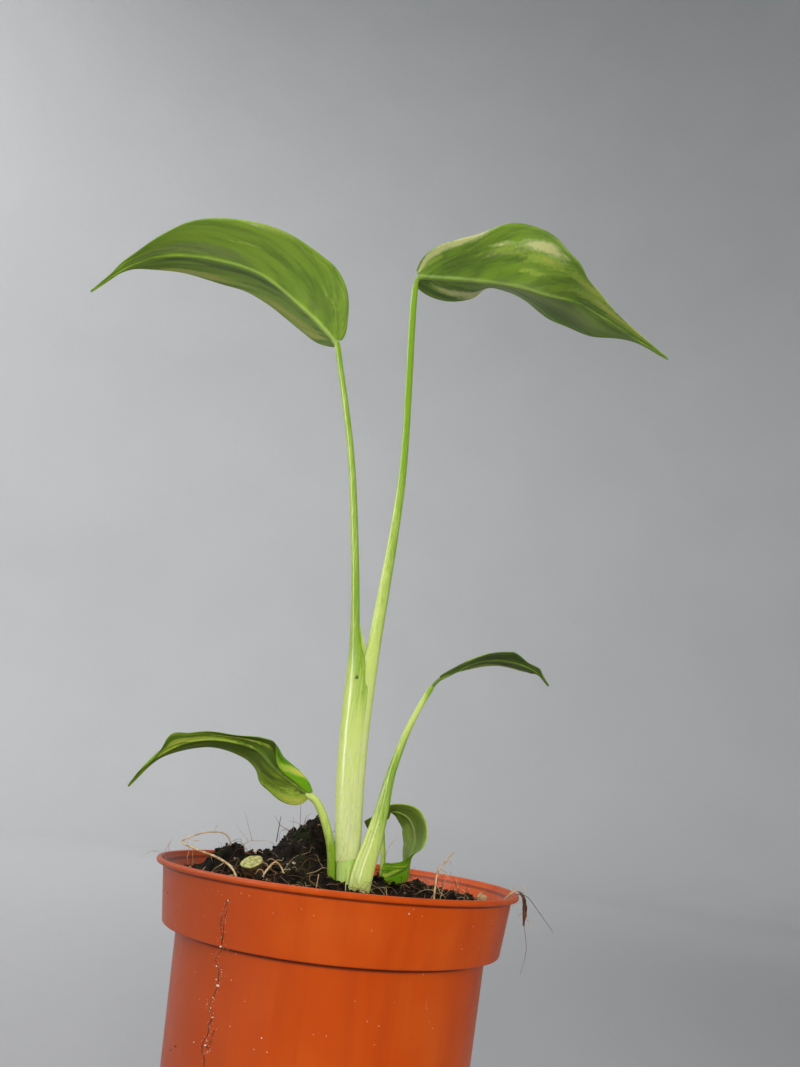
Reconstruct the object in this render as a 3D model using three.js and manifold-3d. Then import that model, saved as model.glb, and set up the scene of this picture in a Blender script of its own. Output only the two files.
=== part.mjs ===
// A young variegated aroid house plant with five leaves, rooted in a round plastic nursery pot.
// Sizes are millimetres with +Z up. The origin is the centre of the pot's base and -Y is the front.
import * as THREE from 'three';
import { mergeVertices } from 'three/addons/utils/BufferGeometryUtils.js';
import Module from 'manifold-3d';

const wasm = await Module();
wasm.setup();

// Driving dimensions
const GAP = 0.3; // clearance between pieces that touch
const POT = {
  height: 72,
  rimRadius: 42.5,
  lip: 0.8, // half thickness of the rolled lip
  collarTopRadius: 41,
  collarFootRadius: 38.9,
  collarDepth: 13.3, // from the rim down to the foot of the collar
  bodyTopRadius: 35.6,
  baseRadius: 31.4,
  baseChamfer: 1,
  wall: 1.2,
  floor: 1.5,
  holes: 6,
  holeRadius: 3.5,
  holeCircle: 21,
  segments: 56,
};
const SOIL = { level: -4, rings: 15, segments: 56 }; // level at the wall, from the rim
const BLADE = { thickness: 0.6, cellsAlong: 20, cellsAcross: 4 }; // cells across one half
const RIM = POT.height;

const FINISH = {
  pot: { color: 0xb9491c, roughness: 0.42, metalness: 0 },
  soil: { color: 0x2c231b, roughness: 0.95, metalness: 0 },
  stem: { color: 0xbccf86, roughness: 0.5, metalness: 0 },
  petiole: { color: 0x9dbb52, roughness: 0.48, metalness: 0 },
  blade: { color: 0x6b9236, roughness: 0.5, metalness: 0 },
  stub: { color: 0xbdbb7a, roughness: 0.7, metalness: 0 },
  root: { color: 0xb68a58, roughness: 0.8, metalness: 0 },
};

// A smooth curve through points given as [x, y, z]
function curveThrough(points) {
  return new THREE.CatmullRomCurve3(points.map((point) => new THREE.Vector3(...point)), false, 'catmullrom', 0.5);
}

// A value that changes smoothly along a piece, through evenly spaced values
function profileThrough(values) {
  if (values.length === 1) return () => values[0];
  const curve = curveThrough(values.map((value) => [value, 0, 0]));
  return (s) => curve.getPoint(s).x;
}

function indexedGeometry(points, triangles) {
  const geometry = new THREE.BufferGeometry().setFromPoints(points);
  geometry.setIndex(triangles.flat());
  return geometry;
}

function toSolid(geometry) {
  const bare = geometry.clone();
  bare.deleteAttribute('normal');
  bare.deleteAttribute('uv');
  const merged = mergeVertices(bare, 1e-4);
  const vertProperties = new Float32Array(merged.attributes.position.array);
  const triVerts = new Uint32Array(merged.index.array);
  return new wasm.Manifold(new wasm.Mesh({ numProp: 3, vertProperties, triVerts }));
}

function toGeometry(solid) {
  const mesh = solid.getMesh();
  const geometry = new THREE.BufferGeometry();
  geometry.setAttribute('position', new THREE.BufferAttribute(new Float32Array(mesh.vertProperties), 3));
  geometry.setIndex(new THREE.BufferAttribute(new Uint32Array(mesh.triVerts), 1));
  return geometry;
}

// A stalk or root: oval rings swept along a path. wide and deep are its half widths along the path,
// deep is measured along the direction level, and grow swells it all round to cut the hole it stands in.
function stalk({ path, wide, deep = wide, level = [0, 1, 0], sides = 10, rings = 12 }, grow = 0) {
  const curve = curveThrough(path);
  const wideAt = profileThrough(wide);
  const deepAt = profileThrough(deep);
  const points = [];
  const triangles = [];
  const centres = [];
  for (let i = 0; i <= rings; i += 1) {
    const s = i / rings;
    const tangent = curve.getTangent(s);
    const back = new THREE.Vector3(...level);
    back.addScaledVector(tangent, -back.dot(tangent)).normalize();
    const across = back.clone().cross(tangent);
    const overrun = (i === rings) - (i === 0);
    centres.push(curve.getPoint(s).addScaledVector(tangent, overrun * grow));
    for (let k = 0; k < sides; k += 1) {
      const angle = (2 * Math.PI * k) / sides;
      points.push(centres[i].clone()
        .addScaledVector(across, Math.cos(angle) * (wideAt(s) + grow))
        .addScaledVector(back, Math.sin(angle) * (deepAt(s) + grow)));
      if (i < rings) {
        const here = i * sides + k;
        const next = i * sides + ((k + 1) % sides);
        triangles.push([here, next, here + sides], [next, next + sides, here + sides]);
      }
    }
  }
  const foot = points.push(centres[0]) - 1;
  const head = points.push(centres[rings]) - 1;
  for (let k = 0; k < sides; k += 1) {
    const next = (k + 1) % sides;
    triangles.push([foot, next, k], [head, rings * sides + k, rings * sides + next]);
  }
  return indexedGeometry(points, triangles);
}

// The middle surface of a blade, as rows of points from the front margin over the midrib to the back
// margin. Each half leaves the midrib at its lift, bends by its curl towards the margin, and its rows
// lean towards the tip by its sweep. Angles are degrees.
function bladeRows({ midrib, heading, roll, front, back }) {
  const { cellsAlong, cellsAcross } = BLADE;
  const curve = curveThrough(midrib);
  const rollAt = profileThrough(roll);
  const halves = [[-1, front], [1, back]].map(([side, half]) => ({
    side,
    width: profileThrough(half.width),
    lift: profileThrough(half.lift),
    curl: profileThrough(half.curl),
    sweep: profileThrough(half.sweep),
  }));
  const rows = [];
  for (let i = 0; i <= cellsAlong; i += 1) {
    const s = i / cellsAlong;
    const along = s - (0.6 * Math.sin(2 * Math.PI * s)) / (2 * Math.PI); // rows crowd to both ends
    const centre = curve.getPoint(along);
    const tangent = curve.getTangent(along);
    const level = new THREE.Vector3(0, 1, 0);
    level.addScaledVector(tangent, -level.dot(tangent)).normalize();
    const upright = level.clone().cross(tangent).multiplyScalar(heading);
    const turn = THREE.MathUtils.degToRad(rollAt(s));
    const across = level.clone().multiplyScalar(Math.cos(turn)).addScaledVector(upright, Math.sin(turn));
    const up = upright.multiplyScalar(Math.cos(turn)).addScaledVector(level, -Math.sin(turn));
    const row = [centre];
    for (const { side, width, lift, curl, sweep } of halves) {
      const step = width(s) / cellsAcross;
      const lean = THREE.MathUtils.degToRad(sweep(s));
      let reach = 0;
      let rise = 0;
      for (let k = 1; k <= cellsAcross; k += 1) {
        const v = (k - 0.5) / cellsAcross;
        const angle = THREE.MathUtils.degToRad(lift(s) + curl(s) * v * v);
        reach += step * Math.cos(angle);
        rise += step * Math.sin(angle);
        const point = centre.clone()
          .addScaledVector(across, side * reach * Math.cos(lean))
          .addScaledVector(tangent, reach * Math.sin(lean))
          .addScaledVector(up, rise);
        if (side < 0) row.unshift(point);
        else row.push(point);
      }
    }
    rows.push(row);
  }
  return rows;
}

// A thin closed blade on that surface, split into triangles alike on both faces
function blade(leaf) {
  const rows = bladeRows(leaf);
  const last = rows.length - 1;
  const width = rows[0].length;
  const upper = [];
  const lower = [];
  rows.forEach((row, i) => row.forEach((point, j) => {
    const across = row[Math.min(j + 1, width - 1)].clone().sub(row[Math.max(j - 1, 0)]);
    const along = rows[Math.min(i + 1, last)][j].clone().sub(rows[Math.max(i - 1, 0)][j]);
    const normal = across.cross(along).normalize().multiplyScalar((leaf.heading * BLADE.thickness) / 2);
    upper.push(point.clone().add(normal));
    lower.push(point.clone().sub(normal));
  }));
  const faces = [];
  const under = upper.length;
  for (let i = 0; i < last; i += 1) {
    for (let j = 0; j < width - 1; j += 1) {
      const a = i * width + j;
      const [b, c, d] = [a + 1, a + width, a + width + 1];
      faces.push([a, b, c], [b, d, c]);
      faces.push([under + a, under + c, under + b], [under + b, under + c, under + d]);
    }
  }
  const edge = []; // once round the blade
  for (let j = 0; j < width - 1; j += 1) edge.push(j);
  for (let i = 0; i < last; i += 1) edge.push(i * width + width - 1);
  for (let j = width - 1; j > 0; j -= 1) edge.push(last * width + j);
  for (let i = last; i > 0; i -= 1) edge.push(i * width);
  edge.forEach((here, k) => {
    const next = edge[(k + 1) % edge.length];
    faces.push([here, under + here, next], [next, under + here, under + next]);
  });
  const triangles = leaf.heading > 0 ? faces : faces.map(([a, b, c]) => [a, c, b]);
  return indexedGeometry([...upper, ...lower], triangles);
}

// Pot: one moulded shell with a rolled lip, a stepped collar, a tapered body and drain holes
const bodyHeight = POT.height - POT.collarDepth;
const wallStep = POT.wall; // level part of the shell under the collar

function potOutline() {
  const lipCentre = [POT.rimRadius - POT.lip, RIM - POT.lip];
  const lip = Array.from({ length: 7 }, (_, k) => {
    const angle = -Math.PI / 2 + (k * Math.PI) / 5;
    return [lipCentre[0] + POT.lip * Math.cos(angle), lipCentre[1] + POT.lip * Math.sin(angle)];
  });
  return [
    [0, 0],
    [POT.baseRadius - POT.baseChamfer, 0],
    [POT.baseRadius, POT.baseChamfer],
    [POT.bodyTopRadius, bodyHeight],
    [POT.collarFootRadius, bodyHeight],
    [POT.collarTopRadius, RIM - 2 * POT.lip],
    ...lip,
    [POT.collarTopRadius - POT.wall, RIM - 2 * POT.lip],
    [POT.collarFootRadius - POT.wall, bodyHeight + wallStep],
    [POT.bodyTopRadius - POT.wall, bodyHeight + wallStep],
    [POT.baseRadius - POT.wall, POT.floor],
    [0, POT.floor],
  ].map(([r, z]) => new THREE.Vector2(r, z));
}

function makePot() {
  const turned = new THREE.LatheGeometry(potOutline(), POT.segments).rotateX(Math.PI / 2);
  let shell = toSolid(turned);
  for (let k = 0; k < POT.holes; k += 1) {
    const angle = (2 * Math.PI * k) / POT.holes;
    const drill = new THREE.CylinderGeometry(POT.holeRadius, POT.holeRadius, 4 * POT.floor, 16);
    drill.rotateX(Math.PI / 2);
    drill.translate(POT.holeCircle * Math.cos(angle), POT.holeCircle * Math.sin(angle), 0);
    shell = shell.subtract(toSolid(drill));
  }
  return toGeometry(shell);
}

// Crown: the short buried stem, its joint above the soil and the main roots that hold it in the soil
const crownStem = {
  path: [[1.9, -4, 46], [2.2, -4, 54], [2.2, -4, 63], [2.1, -4, 70], [1.8, -4, RIM + 3.2]],
  wide: [1.4, 3, 2.5, 2.3, 2.6],
  deep: [1.4, 3, 2.4, 2.2, 2.4],
  sides: 14,
  rings: 12,
};
const ROOT_COUNT = 5;
const mainRoots = Array.from({ length: ROOT_COUNT }, (_, k) => {
  const angle = ((2 * k + 0.6) * Math.PI) / ROOT_COUNT;
  const start = [crownStem.path[1][0], crownStem.path[1][1]];
  const outward = (reach, z) => [start[0] + reach * Math.cos(angle), start[1] + reach * Math.sin(angle), z];
  const depth = 12 + 4 * (k % 3);
  return {
    path: [outward(0, 55), outward(6, 51), outward(14, 42), outward(20, 28), outward(22, depth)],
    wide: [1.3, 1.1, 1, 0.8, 0.5],
    level: [0, 0, 1],
    sides: 6,
    rings: 9,
  };
});

function crownSolid(grow = 0) {
  const solids = [crownStem, ...mainRoots].map((piece) => toSolid(stalk(piece, grow)));
  return solids.reduce((joined, next) => joined.add(next));
}

// Petioles: the two tall ones stand side by side as a sheathed stem and part near z = 125
const PETIOLES = {
  petiole_upper_left: {
    path: [
      [-0.2, -4, RIM + 3.5], [-0.7, -4, 80], [-1.8, -4, 91], [-2.4, -4.1, 103], [-2.7, -4.3, 115],
      [-3.5, -4.8, 128], [-6, -5.8, 148], [-11, -7, 178], [-18.8, -8.1, 209.4],
    ],
    wide: [1.2, 1.45, 1.65, 1.75, 1.7, 1.25, 1.15, 0.95, 0.7],
    deep: [2.0, 2.3, 2.4, 2.3, 2.1, 1.5, 1.25, 1.05, 0.7],
    rings: 20,
  },
  petiole_upper_right: {
    path: [
      [2.8, -4, RIM + 3.5], [2.65, -4, 80], [1.9, -4, 91], [1.45, -4, 103], [1.4, -3.8, 115],
      [1.8, -3.1, 128], [3.6, 1, 161], [3.8, 4.2, 186], [1.5, 7, 231], [1.1, 7.9, 246.6],
    ],
    wide: [1.5, 1.5, 1.6, 1.65, 1.8, 1.7, 1.3, 1.1, 1.1, 0.8],
    deep: [2.0, 2.3, 2.4, 2.3, 2.3, 1.8, 1.3, 1.1, 1.1, 0.8],
    rings: 22,
  },
  petiole_lower_left: {
    path: [[-1.6, -3, 64], [-1.8, -3.6, 71], [-2.9, -5, 78], [-5.1, -6, 83.5], [-7.4, -7, 87.2], [-9.2, -7.1, 88.1]],
    wide: [1.0, 1.0, 1.0, 1.0, 0.9, 0.8],
  },
  petiole_lower_right: {
    path: [
      [4.8, -7.6, 64], [5.3, -7.8, 72], [7, -7, 80], [8.3, -6, 87], [9.4, -5, 95],
      [11.9, -4, 104.5], [15, -3.4, 112], [18, -2.9, 119.2],
    ],
    wide: [2.6, 2.9, 2.2, 1.6, 1.2, 0.9, 0.75, 0.65],
    deep: [1.1, 1.2, 1.3, 1.4, 1.15, 0.9, 0.75, 0.65],
    rings: 14,
  },
  petiole_curled: {
    path: [[10.4, 2.4, 64], [10.3, 3, 74], [9.6, 4, 80], [9, 4.8, 84.6]],
    wide: [0.7, 0.65, 0.6, 0.6],
    sides: 8,
    rings: 8,
  },
};

// Leaf blades. heading is 1 for a blade that leaves to the left and -1 for one that leaves to the right.
const LEAVES = {
  blade_upper_left: {
    heading: 1,
    midrib: [
      [-19.5, -8.5, 211], [-29.5, -10.5, 218.5], [-44.5, -13, 227],
      [-65, -12, 230], [-78, -13, 224.5], [-87.5, -14.5, 212.5],
    ],
    roll: [0],
    front: { width: [1.5, 7.3, 14, 15.8, 12.8, 6, 2, 0.8, 0.3], lift: [20, 40, 20, 5, 10], curl: [0],
      sweep: [-70, -25, -5, 5, 15, 25, 30] },
    back: { width: [1.5, 6.5, 11.5, 12.5, 11, 6, 1.5, 0.6, 0.3], lift: [0, -5, -2, 10, 5], curl: [0],
      sweep: [-50, -15, -5, 5, 15, 25, 30] },
  },
  blade_upper_right: {
    heading: -1,
    midrib: [
      [2.3, 8, 248], [19.5, 0.5, 243.5], [32, -0.5, 242.5], [42, -1, 240.5],
      [51, -1.5, 239], [61, -3.5, 232], [77.5, -5.5, 220.5],
    ],
    roll: [0],
    front: { width: [2, 8.5, 14, 18, 15.4, 9, 4, 1.5, 0.3], lift: [33, 30, 45, 5, 5, 10], curl: [0],
      sweep: [-60, -15, 0, 5, 10, 20, 30] },
    back: { width: [3, 9, 13.5, 15.5, 14.5, 11, 6, 2, 0.3], lift: [-22, -5, 30, 12, -12, 20, 0], curl: [0],
      sweep: [-60, -25, -5, 0, 10, 20, 30] },
  },
  blade_lower_left: {
    heading: 1,
    midrib: [
      [-10, -7, 89], [-18, -5.5, 93.5], [-24.5, -5.5, 98], [-35, -9.5, 98.5], [-44, -10.5, 94.5], [-50.5, -11.5, 86],
    ],
    roll: [-75, -72, -40, -14, -10, -10],
    front: { width: [1.5, 2.4, 4, 5.6, 3, 3.8, 2.5, 1, 0.3], lift: [30, 40, 13, 14, 8],
      curl: [-170, -190, -190, -60, -10, 0, -60, 0, 0], sweep: [-50, -15, 0, 5, 15, 25, 30] },
    back: { width: [1.5, 4.5, 6.3, 6.3, 5.5, 4.7, 1.5, 0.6, 0.3], lift: [0, 4, -4, -6, 7], curl: [10],
      sweep: [-50, -20, -5, 5, 15, 25, 30] },
  },
  blade_lower_right: {
    heading: -1,
    midrib: [[18.5, -2.8, 119.8], [29, -2.5, 125.8], [36.5, -3, 126.7], [43, -5.5, 124.5], [47, -4.5, 121.3]],
    roll: [0],
    front: { width: [0.8, 2.1, 3.5, 4.5, 4.6, 2.4, 1.1, 0.6, 0.3], lift: [19, 9, 23, 9], curl: [0],
      sweep: [-30, -5, 5, 10, 15, 25, 30] },
    back: { width: [0.6, 2, 3.9, 4.6, 4.8, 2.4, 0.9, 0.5, 0.3], lift: [16, -13, -4, 13], curl: [0],
      sweep: [-30, -5, 5, 10, 15, 25, 30] },
  },
  blade_curled: {
    heading: -1,
    midrib: [
      [8.8, 5, 86.3], [12, 3.5, 87.2], [15.6, 3, 85.8], [17.4, 2.2, 82],
      [16.2, 0.4, 76.6], [12.6, -2.6, 73.8], [9, -4.2, 72.8],
    ],
    roll: [-4, -8, -30, -28, -20],
    front: { width: [0.8, 3, 4.6, 5.6, 5.4, 4, 2.5, 1.2, 0.3], lift: [0], curl: [0],
      sweep: [-30, -5, 5, 10, 15, 25, 30] },
    back: { width: [5.5, 6.2, 6, 6, 5.5, 4, 2.5, 1.2, 0.3], lift: [-45, -6, 0, 0, 0], curl: [0],
      sweep: [-75, -35, 0, 10, 15, 25, 30] },
  },
};

// The old cut stem end, and the stray roots that loop out of the soil or hang over the rim
const CUT_STUB = {
  path: [[-17, -10, 65], [-18.2, -13, 69], [-19.4, -16.2, 73.4]],
  wide: [2.4, 2.3, 2.3],
  sides: 12,
  rings: 4,
};
const STRAY_ROOTS = {
  root_arch_left: {
    path: [
      [-26, 8.5, 70], [-28.5, 7, 76.6], [-33, 5, 77.3], [-38, 2.8, 75.3], [-38, 0, 74.5],
      [-33.5, -6, 73.9], [-27, -13, 73], [-22.5, -20.5, 71.6], [-20, -26, 68],
    ],
    wide: [0.4],
    rings: 26,
  },
  root_loop_front: {
    path: [[-16.2, -20.5, 67], [-16, -20, 71.3], [-14, -18.4, 74], [-11.8, -18.8, 71.6], [-11.5, -19.4, 67]],
    wide: [0.4],
    rings: 18,
  },
  root_arc_right: {
    path: [[21.4, -14.4, 65], [21.6, -14, 72.5], [22.3, -13, 76], [25.3, -11, 79.5]],
    wide: [0.45, 0.4, 0.4, 0.3],
    rings: 10,
  },
  root_over_rim: {
    path: [
      [35.5, -5.6, 66.5], [38.8, -6, 71], [41.4, -6.2, 73.5], [43, -6.6, 72], [43.1, -7.2, 68.8], [42.9, -7.6, 65.5],
    ],
    wide: [0.45, 0.45, 0.45, 0.5, 0.6, 0.3],
    rings: 16,
  },
};

// Everything that stands in the soil, grown by the clearance to cut its hole
function rootedSolids(grow) {
  const rooted = [CUT_STUB, ...Object.values(STRAY_ROOTS), PETIOLES.petiole_lower_left,
    PETIOLES.petiole_lower_right, PETIOLES.petiole_curled];
  return [crownSolid(grow), ...rooted.map((piece) => toSolid(stalk(looseRoot(piece), grow)))];
}

function looseRoot(piece) {
  return piece.wide.length === 1 || piece.wide[0] < 0.5 ? { ...piece, sides: 6, level: [0, 0.6, 0.8] } : piece;
}

// Soil: fills the pot to its wall, heaped behind the stems and low at the right and along the wall
const MOUNDS = [
  { x: -8.5, y: 10, height: 13.8, spreadX: 9.5, spreadY: 11 },
  { x: -26, y: 7, height: 5.5, spreadX: 7.5, spreadY: 9 },
  { x: 12, y: 2, height: 2.2, spreadX: 9, spreadY: 9 },
  { x: -12, y: -14, height: 2.4, spreadX: 14, spreadY: 10 },
];

function soilHeight(x, y) {
  const wallDistance = 37.5 - Math.hypot(x, y);
  const heap = MOUNDS.reduce((sum, mound) => {
    const [dx, dy] = [(x - mound.x) / mound.spreadX, (y - mound.y) / mound.spreadY];
    return sum + mound.height * Math.exp(-dx * dx - dy * dy);
  }, 0);
  const lumps = 0.7 * Math.sin(0.83 * x + 1.3) * Math.sin(0.71 * y + 0.4)
    + 0.5 * Math.sin(1.47 * x - 0.9 * y) * Math.cos(1.1 * y + 0.5 * x);
  const atWall = THREE.MathUtils.smoothstep(wallDistance, 0, 8);
  return RIM + SOIL.level + (heap + lumps) * atWall;
}

function makeSoil() {
  const bodySlope = (POT.bodyTopRadius - POT.baseRadius) / (bodyHeight - POT.baseChamfer);
  const footLevel = POT.floor + GAP;
  const collarFoot = POT.collarFootRadius - POT.wall - GAP;
  const collarSlope = (POT.collarTopRadius - POT.collarFootRadius) / (POT.collarDepth - 2 * POT.lip);
  const collarTop = collarFoot + collarSlope * (POT.collarDepth + SOIL.level - wallStep);
  const footRadius = POT.baseRadius - POT.wall - GAP + bodySlope * GAP;
  const ledge = bodyHeight + wallStep + GAP;
  const side = [
    [footRadius, footLevel],
    [POT.bodyTopRadius - POT.wall - GAP, ledge],
    [collarFoot, ledge],
  ];
  const points = [new THREE.Vector3(0, 0, footLevel)];
  const ring = (place) => {
    const start = points.length;
    for (let k = 0; k < SOIL.segments; k += 1) {
      const angle = (2 * Math.PI * k) / SOIL.segments;
      points.push(place(Math.cos(angle), Math.sin(angle)));
    }
    return start;
  };
  const starts = side.map(([r, z]) => ring((c, s) => new THREE.Vector3(r * c, r * s, z)));
  for (let i = SOIL.rings; i > 0; i -= 1) {
    const r = (collarTop * i) / SOIL.rings;
    starts.push(ring((c, s) => new THREE.Vector3(r * c, r * s, soilHeight(r * c, r * s))));
  }
  const top = points.push(new THREE.Vector3(0, 0, soilHeight(0, 0))) - 1;
  const triangles = [];
  for (let k = 0; k < SOIL.segments; k += 1) {
    const next = (k + 1) % SOIL.segments;
    triangles.push([0, starts[0] + next, starts[0] + k]);
    for (let i = 0; i + 1 < starts.length; i += 1) {
      const [a, b] = [starts[i] + k, starts[i] + next];
      const [c, d] = [starts[i + 1] + k, starts[i + 1] + next];
      triangles.push([a, b, c], [b, d, c]);
    }
    const rim = starts[starts.length - 1];
    triangles.push([rim + k, rim + next, top]);
  }
  const plug = toSolid(indexedGeometry(points, triangles));
  return toGeometry(rootedSolids(GAP).reduce((soil, hole) => soil.subtract(hole), plug));
}

const plant = new THREE.Group();

function addPiece(name, geometry, finish) {
  geometry.computeVertexNormals();
  const piece = new THREE.Mesh(geometry, new THREE.MeshStandardMaterial(finish));
  piece.name = name;
  plant.add(piece);
}

addPiece('pot', makePot(), FINISH.pot);
addPiece('soil', makeSoil(), FINISH.soil);
addPiece('crown', toGeometry(crownSolid()), FINISH.stem);
for (const [name, piece] of Object.entries(PETIOLES)) addPiece(name, stalk(piece), FINISH.petiole);
for (const [name, leaf] of Object.entries(LEAVES)) addPiece(name, blade(leaf), FINISH.blade);
addPiece('cut_stub', stalk(CUT_STUB), FINISH.stub);
for (const [name, root] of Object.entries(STRAY_ROOTS)) addPiece(name, stalk(looseRoot(root)), FINISH.root);

export default plant;
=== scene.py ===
import math
import random

import bmesh
import bpy
import numpy as np
from mathutils import Matrix, Vector, noise


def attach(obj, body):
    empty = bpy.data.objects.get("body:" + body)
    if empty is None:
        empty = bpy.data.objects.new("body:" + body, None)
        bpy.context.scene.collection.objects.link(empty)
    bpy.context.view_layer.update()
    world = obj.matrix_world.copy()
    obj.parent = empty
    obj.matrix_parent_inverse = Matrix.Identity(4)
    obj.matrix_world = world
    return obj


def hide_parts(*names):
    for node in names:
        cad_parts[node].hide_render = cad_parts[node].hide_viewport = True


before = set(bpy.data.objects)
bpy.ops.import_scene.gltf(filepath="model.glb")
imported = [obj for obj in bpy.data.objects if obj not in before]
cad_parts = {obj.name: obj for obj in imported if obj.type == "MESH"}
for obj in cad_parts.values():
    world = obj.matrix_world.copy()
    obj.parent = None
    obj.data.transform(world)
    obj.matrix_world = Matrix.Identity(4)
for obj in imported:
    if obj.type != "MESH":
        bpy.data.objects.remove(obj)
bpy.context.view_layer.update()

# Studio: a pale floor that rises all round into a wall, soft lamps, and the camera, which stands level
# with the pot's rim, looks up at the leaves and leans a little. The wall and floor are painted darker
# towards the right as painted shade. Lengths are millimetres and become metres where a mesh is made.
MM = 0.001
EYE = Vector((0, -207.2, 88.3)) * MM
PAN, TILT, LEAN = (math.radians(angle) for angle in (1.42, 18.72, 6.55))
FOCAL_LENGTH, FILM_WIDTH = 36, 36
COVE = {"radius": 1500, "bend": 500, "height": 2600, "segments": 96}
WALL, WALL_SHADED = (189, 190, 191), (164, 165, 166)
FLOOR, FLOOR_SHADED = (176, 176, 178), (134, 135, 136)
SKY_TINT, SKY_STRENGTH = (0.8, 0.82, 0.85, 1), 0.3
# One lamp doesn't show in glossy surfaces, and one shows there alone, as the long stripe on the stem.
LAMPS = {
    "window_front": {"place": (60, -1200, 320), "at": (0, 0, 130), "size": (800, 560), "power": 12.4,
                     "in_gloss": False},
    "side_window": {"place": (-930, -780, 260), "at": (0, 0, 130), "size": (130, 1000), "power": 9,
                    "on_surfaces": False},
    "window_right": {"place": (1000, -500, 300), "at": (0, 0, 120), "size": (900, 900), "power": 1},
    "sky_above": {"place": (-300, 150, 1200), "at": (0, 0, 120), "size": (1000, 1000), "power": 6.5},
    "wall_glow": {"place": (-1050, 250, 1200), "at": (-60, 1400, 1100), "size": (700, 1400), "power": 16},
}


def paint(red, green, blue):
    """A colour as the eye sees it, 0 to 255, turned into the linear numbers a shader takes."""
    linear = [((c / 255 + 0.055) / 1.055) ** 2.4 if c > 10 else c / 255 / 12.92 for c in (red, green, blue)]
    return (*linear, 1)


class Shade:
    """A socket in a material. Arithmetic on it adds Math nodes, and node() adds any other kind."""

    def __init__(self, tree, socket=None):
        self.tree, self.socket = tree, socket

    def node(self, kind, inputs, settings=(), output=0):
        made = self.tree.nodes.new("ShaderNode" + kind)
        for name, value in dict(settings).items():
            setattr(made, name, value)
        for key, value in inputs.items():
            if isinstance(value, Shade):
                self.tree.links.new(value.socket, made.inputs[key])
            else:
                made.inputs[key].default_value = value
        return Shade(self.tree, made.outputs[output] if len(made.outputs) else None)

    def maths(self, operation, *values):
        return self.node("Math", dict(enumerate(values)), {"operation": operation})

    def __add__(self, other):
        return self.maths("ADD", self, other)

    def __sub__(self, other):
        return self.maths("SUBTRACT", self, other)

    def __rsub__(self, other):
        return self.maths("SUBTRACT", other, self)

    def __mul__(self, other):
        return self.maths("MULTIPLY", self, other)

    def __truediv__(self, other):
        return self.maths("DIVIDE", self, other)

    __radd__, __rmul__ = __add__, __mul__

    def highest(self, other):
        return self.maths("MAXIMUM", self, other)

    def step(self, low, high):
        """0 below low, 1 above high and smooth between them. It falls instead where low is above high."""
        inputs = {"Value": self, "From Min": low, "From Max": high}
        return self.node("MapRange", inputs, {"interpolation_type": "SMOOTHSTEP"})

    def blend(self, first, second):
        """The first colour where this value is 0 and the second where it is 1. A colour is a Shade or
        red, green and blue from 0 to 255."""
        first, second = (c if isinstance(c, Shade) else paint(*c) for c in (first, second))
        return self.node("Mix", {0: self, 6: first, 7: second}, {"data_type": "RGBA"}, output=2)

    def part(self, axis):
        return self.node("SeparateXYZ", {"Vector": self}, output=axis)

    def stretched(self, x, y, z, shift=0):
        scaled = self.node("VectorMath", {0: self, 1: (x, y, z)}, {"operation": "MULTIPLY"})
        return scaled.node("VectorMath", {0: scaled, 1: (shift,) * 3}, {"operation": "ADD"})

    def cloud(self, scale=1, detail=3, roughness=0.5):
        """Soft noise, about 0.5 on average, read at this vector."""
        inputs = {"Vector": self, "Scale": scale, "Detail": detail, "Roughness": roughness}
        return self.node("TexNoise", inputs)


def layered(colour, *covers):
    """The colour with others laid over it in turn, each with its share from 0 to 1."""
    for share, cover in covers:
        colour = share.blend(colour, cover)
    return colour


def new_material(name):
    """A material, its shader node, and the place on the object in millimetres as a Shade to build on."""
    material = bpy.data.materials.new(name)
    material.use_nodes = True
    place = Shade(material.node_tree).node("TexCoord", {}, output="Object")
    place = place.node("VectorMath", {0: place, "Scale": 1 / MM}, {"operation": "SCALE"})
    return material, material.node_tree.nodes["Principled BSDF"], place


def feed(shader, **values):
    """Sets a shader's sockets, named with _ for a space, to numbers, colours or Shades."""
    for name, value in values.items():
        socket = shader.inputs[name.replace("_", " ")]
        if isinstance(value, Shade):
            value.tree.links.new(value.socket, socket)
        else:
            socket.default_value = value


def bumped(height, depth, strength):
    """A normal that follows a height of 0 to 1, which stands for depth in millimetres."""
    return height.node("Bump", {"Height": height, "Distance": depth * MM, "Strength": strength})


def new_piece(name, body, material):
    """A smooth mesh from a body: its points in millimetres, its faces and, on some, its marks, which hold
    under each name one 3-vector for each point."""
    points, faces, *marks = body
    mesh = bpy.data.meshes.new(name)
    mesh.from_pydata((np.asarray(points, float) * MM).tolist(), [], [list(face) for face in faces])
    for label, values in (marks[0] if marks else {}).items():
        layer = mesh.attributes.new(label, "FLOAT_VECTOR", "POINT")
        layer.data.foreach_set("vector", np.asarray(values, np.float32).ravel())
    mesh.shade_smooth()
    mesh.materials.append(material)
    piece = bpy.data.objects.new(name, mesh)
    bpy.context.scene.collection.objects.link(piece)
    return piece


def turned(outline, segments):
    """Points and faces of an outline of (radius, height) turned about the upright axis. An outline from
    axis to axis gives a closed body."""
    points, rows = [], []
    for radius, z in outline:
        rows.append((len(points), radius > 0))
        for k in range(segments if radius > 0 else 1):
            turn = 2 * math.pi * k / segments
            points.append((radius * math.cos(turn), radius * math.sin(turn), z))
    faces = []
    for (here, round_here), (there, round_there) in zip(rows, rows[1:]):
        for k in range(segments):
            following = (k + 1) % segments
            low = [here + k, here + following] if round_here else [here]
            high = [there + following, there + k] if round_there else [there]
            faces.append(low + high)
    return points, faces


def arc(centre, radius, start, stop, steps):
    """Points (radius, height) on a round stretch of an outline, between two angles in degrees."""
    angles = [math.radians(start + (stop - start) * k / steps) for k in range(steps + 1)]
    return [(centre[0] + radius * math.cos(a), centre[1] + radius * math.sin(a)) for a in angles]


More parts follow.
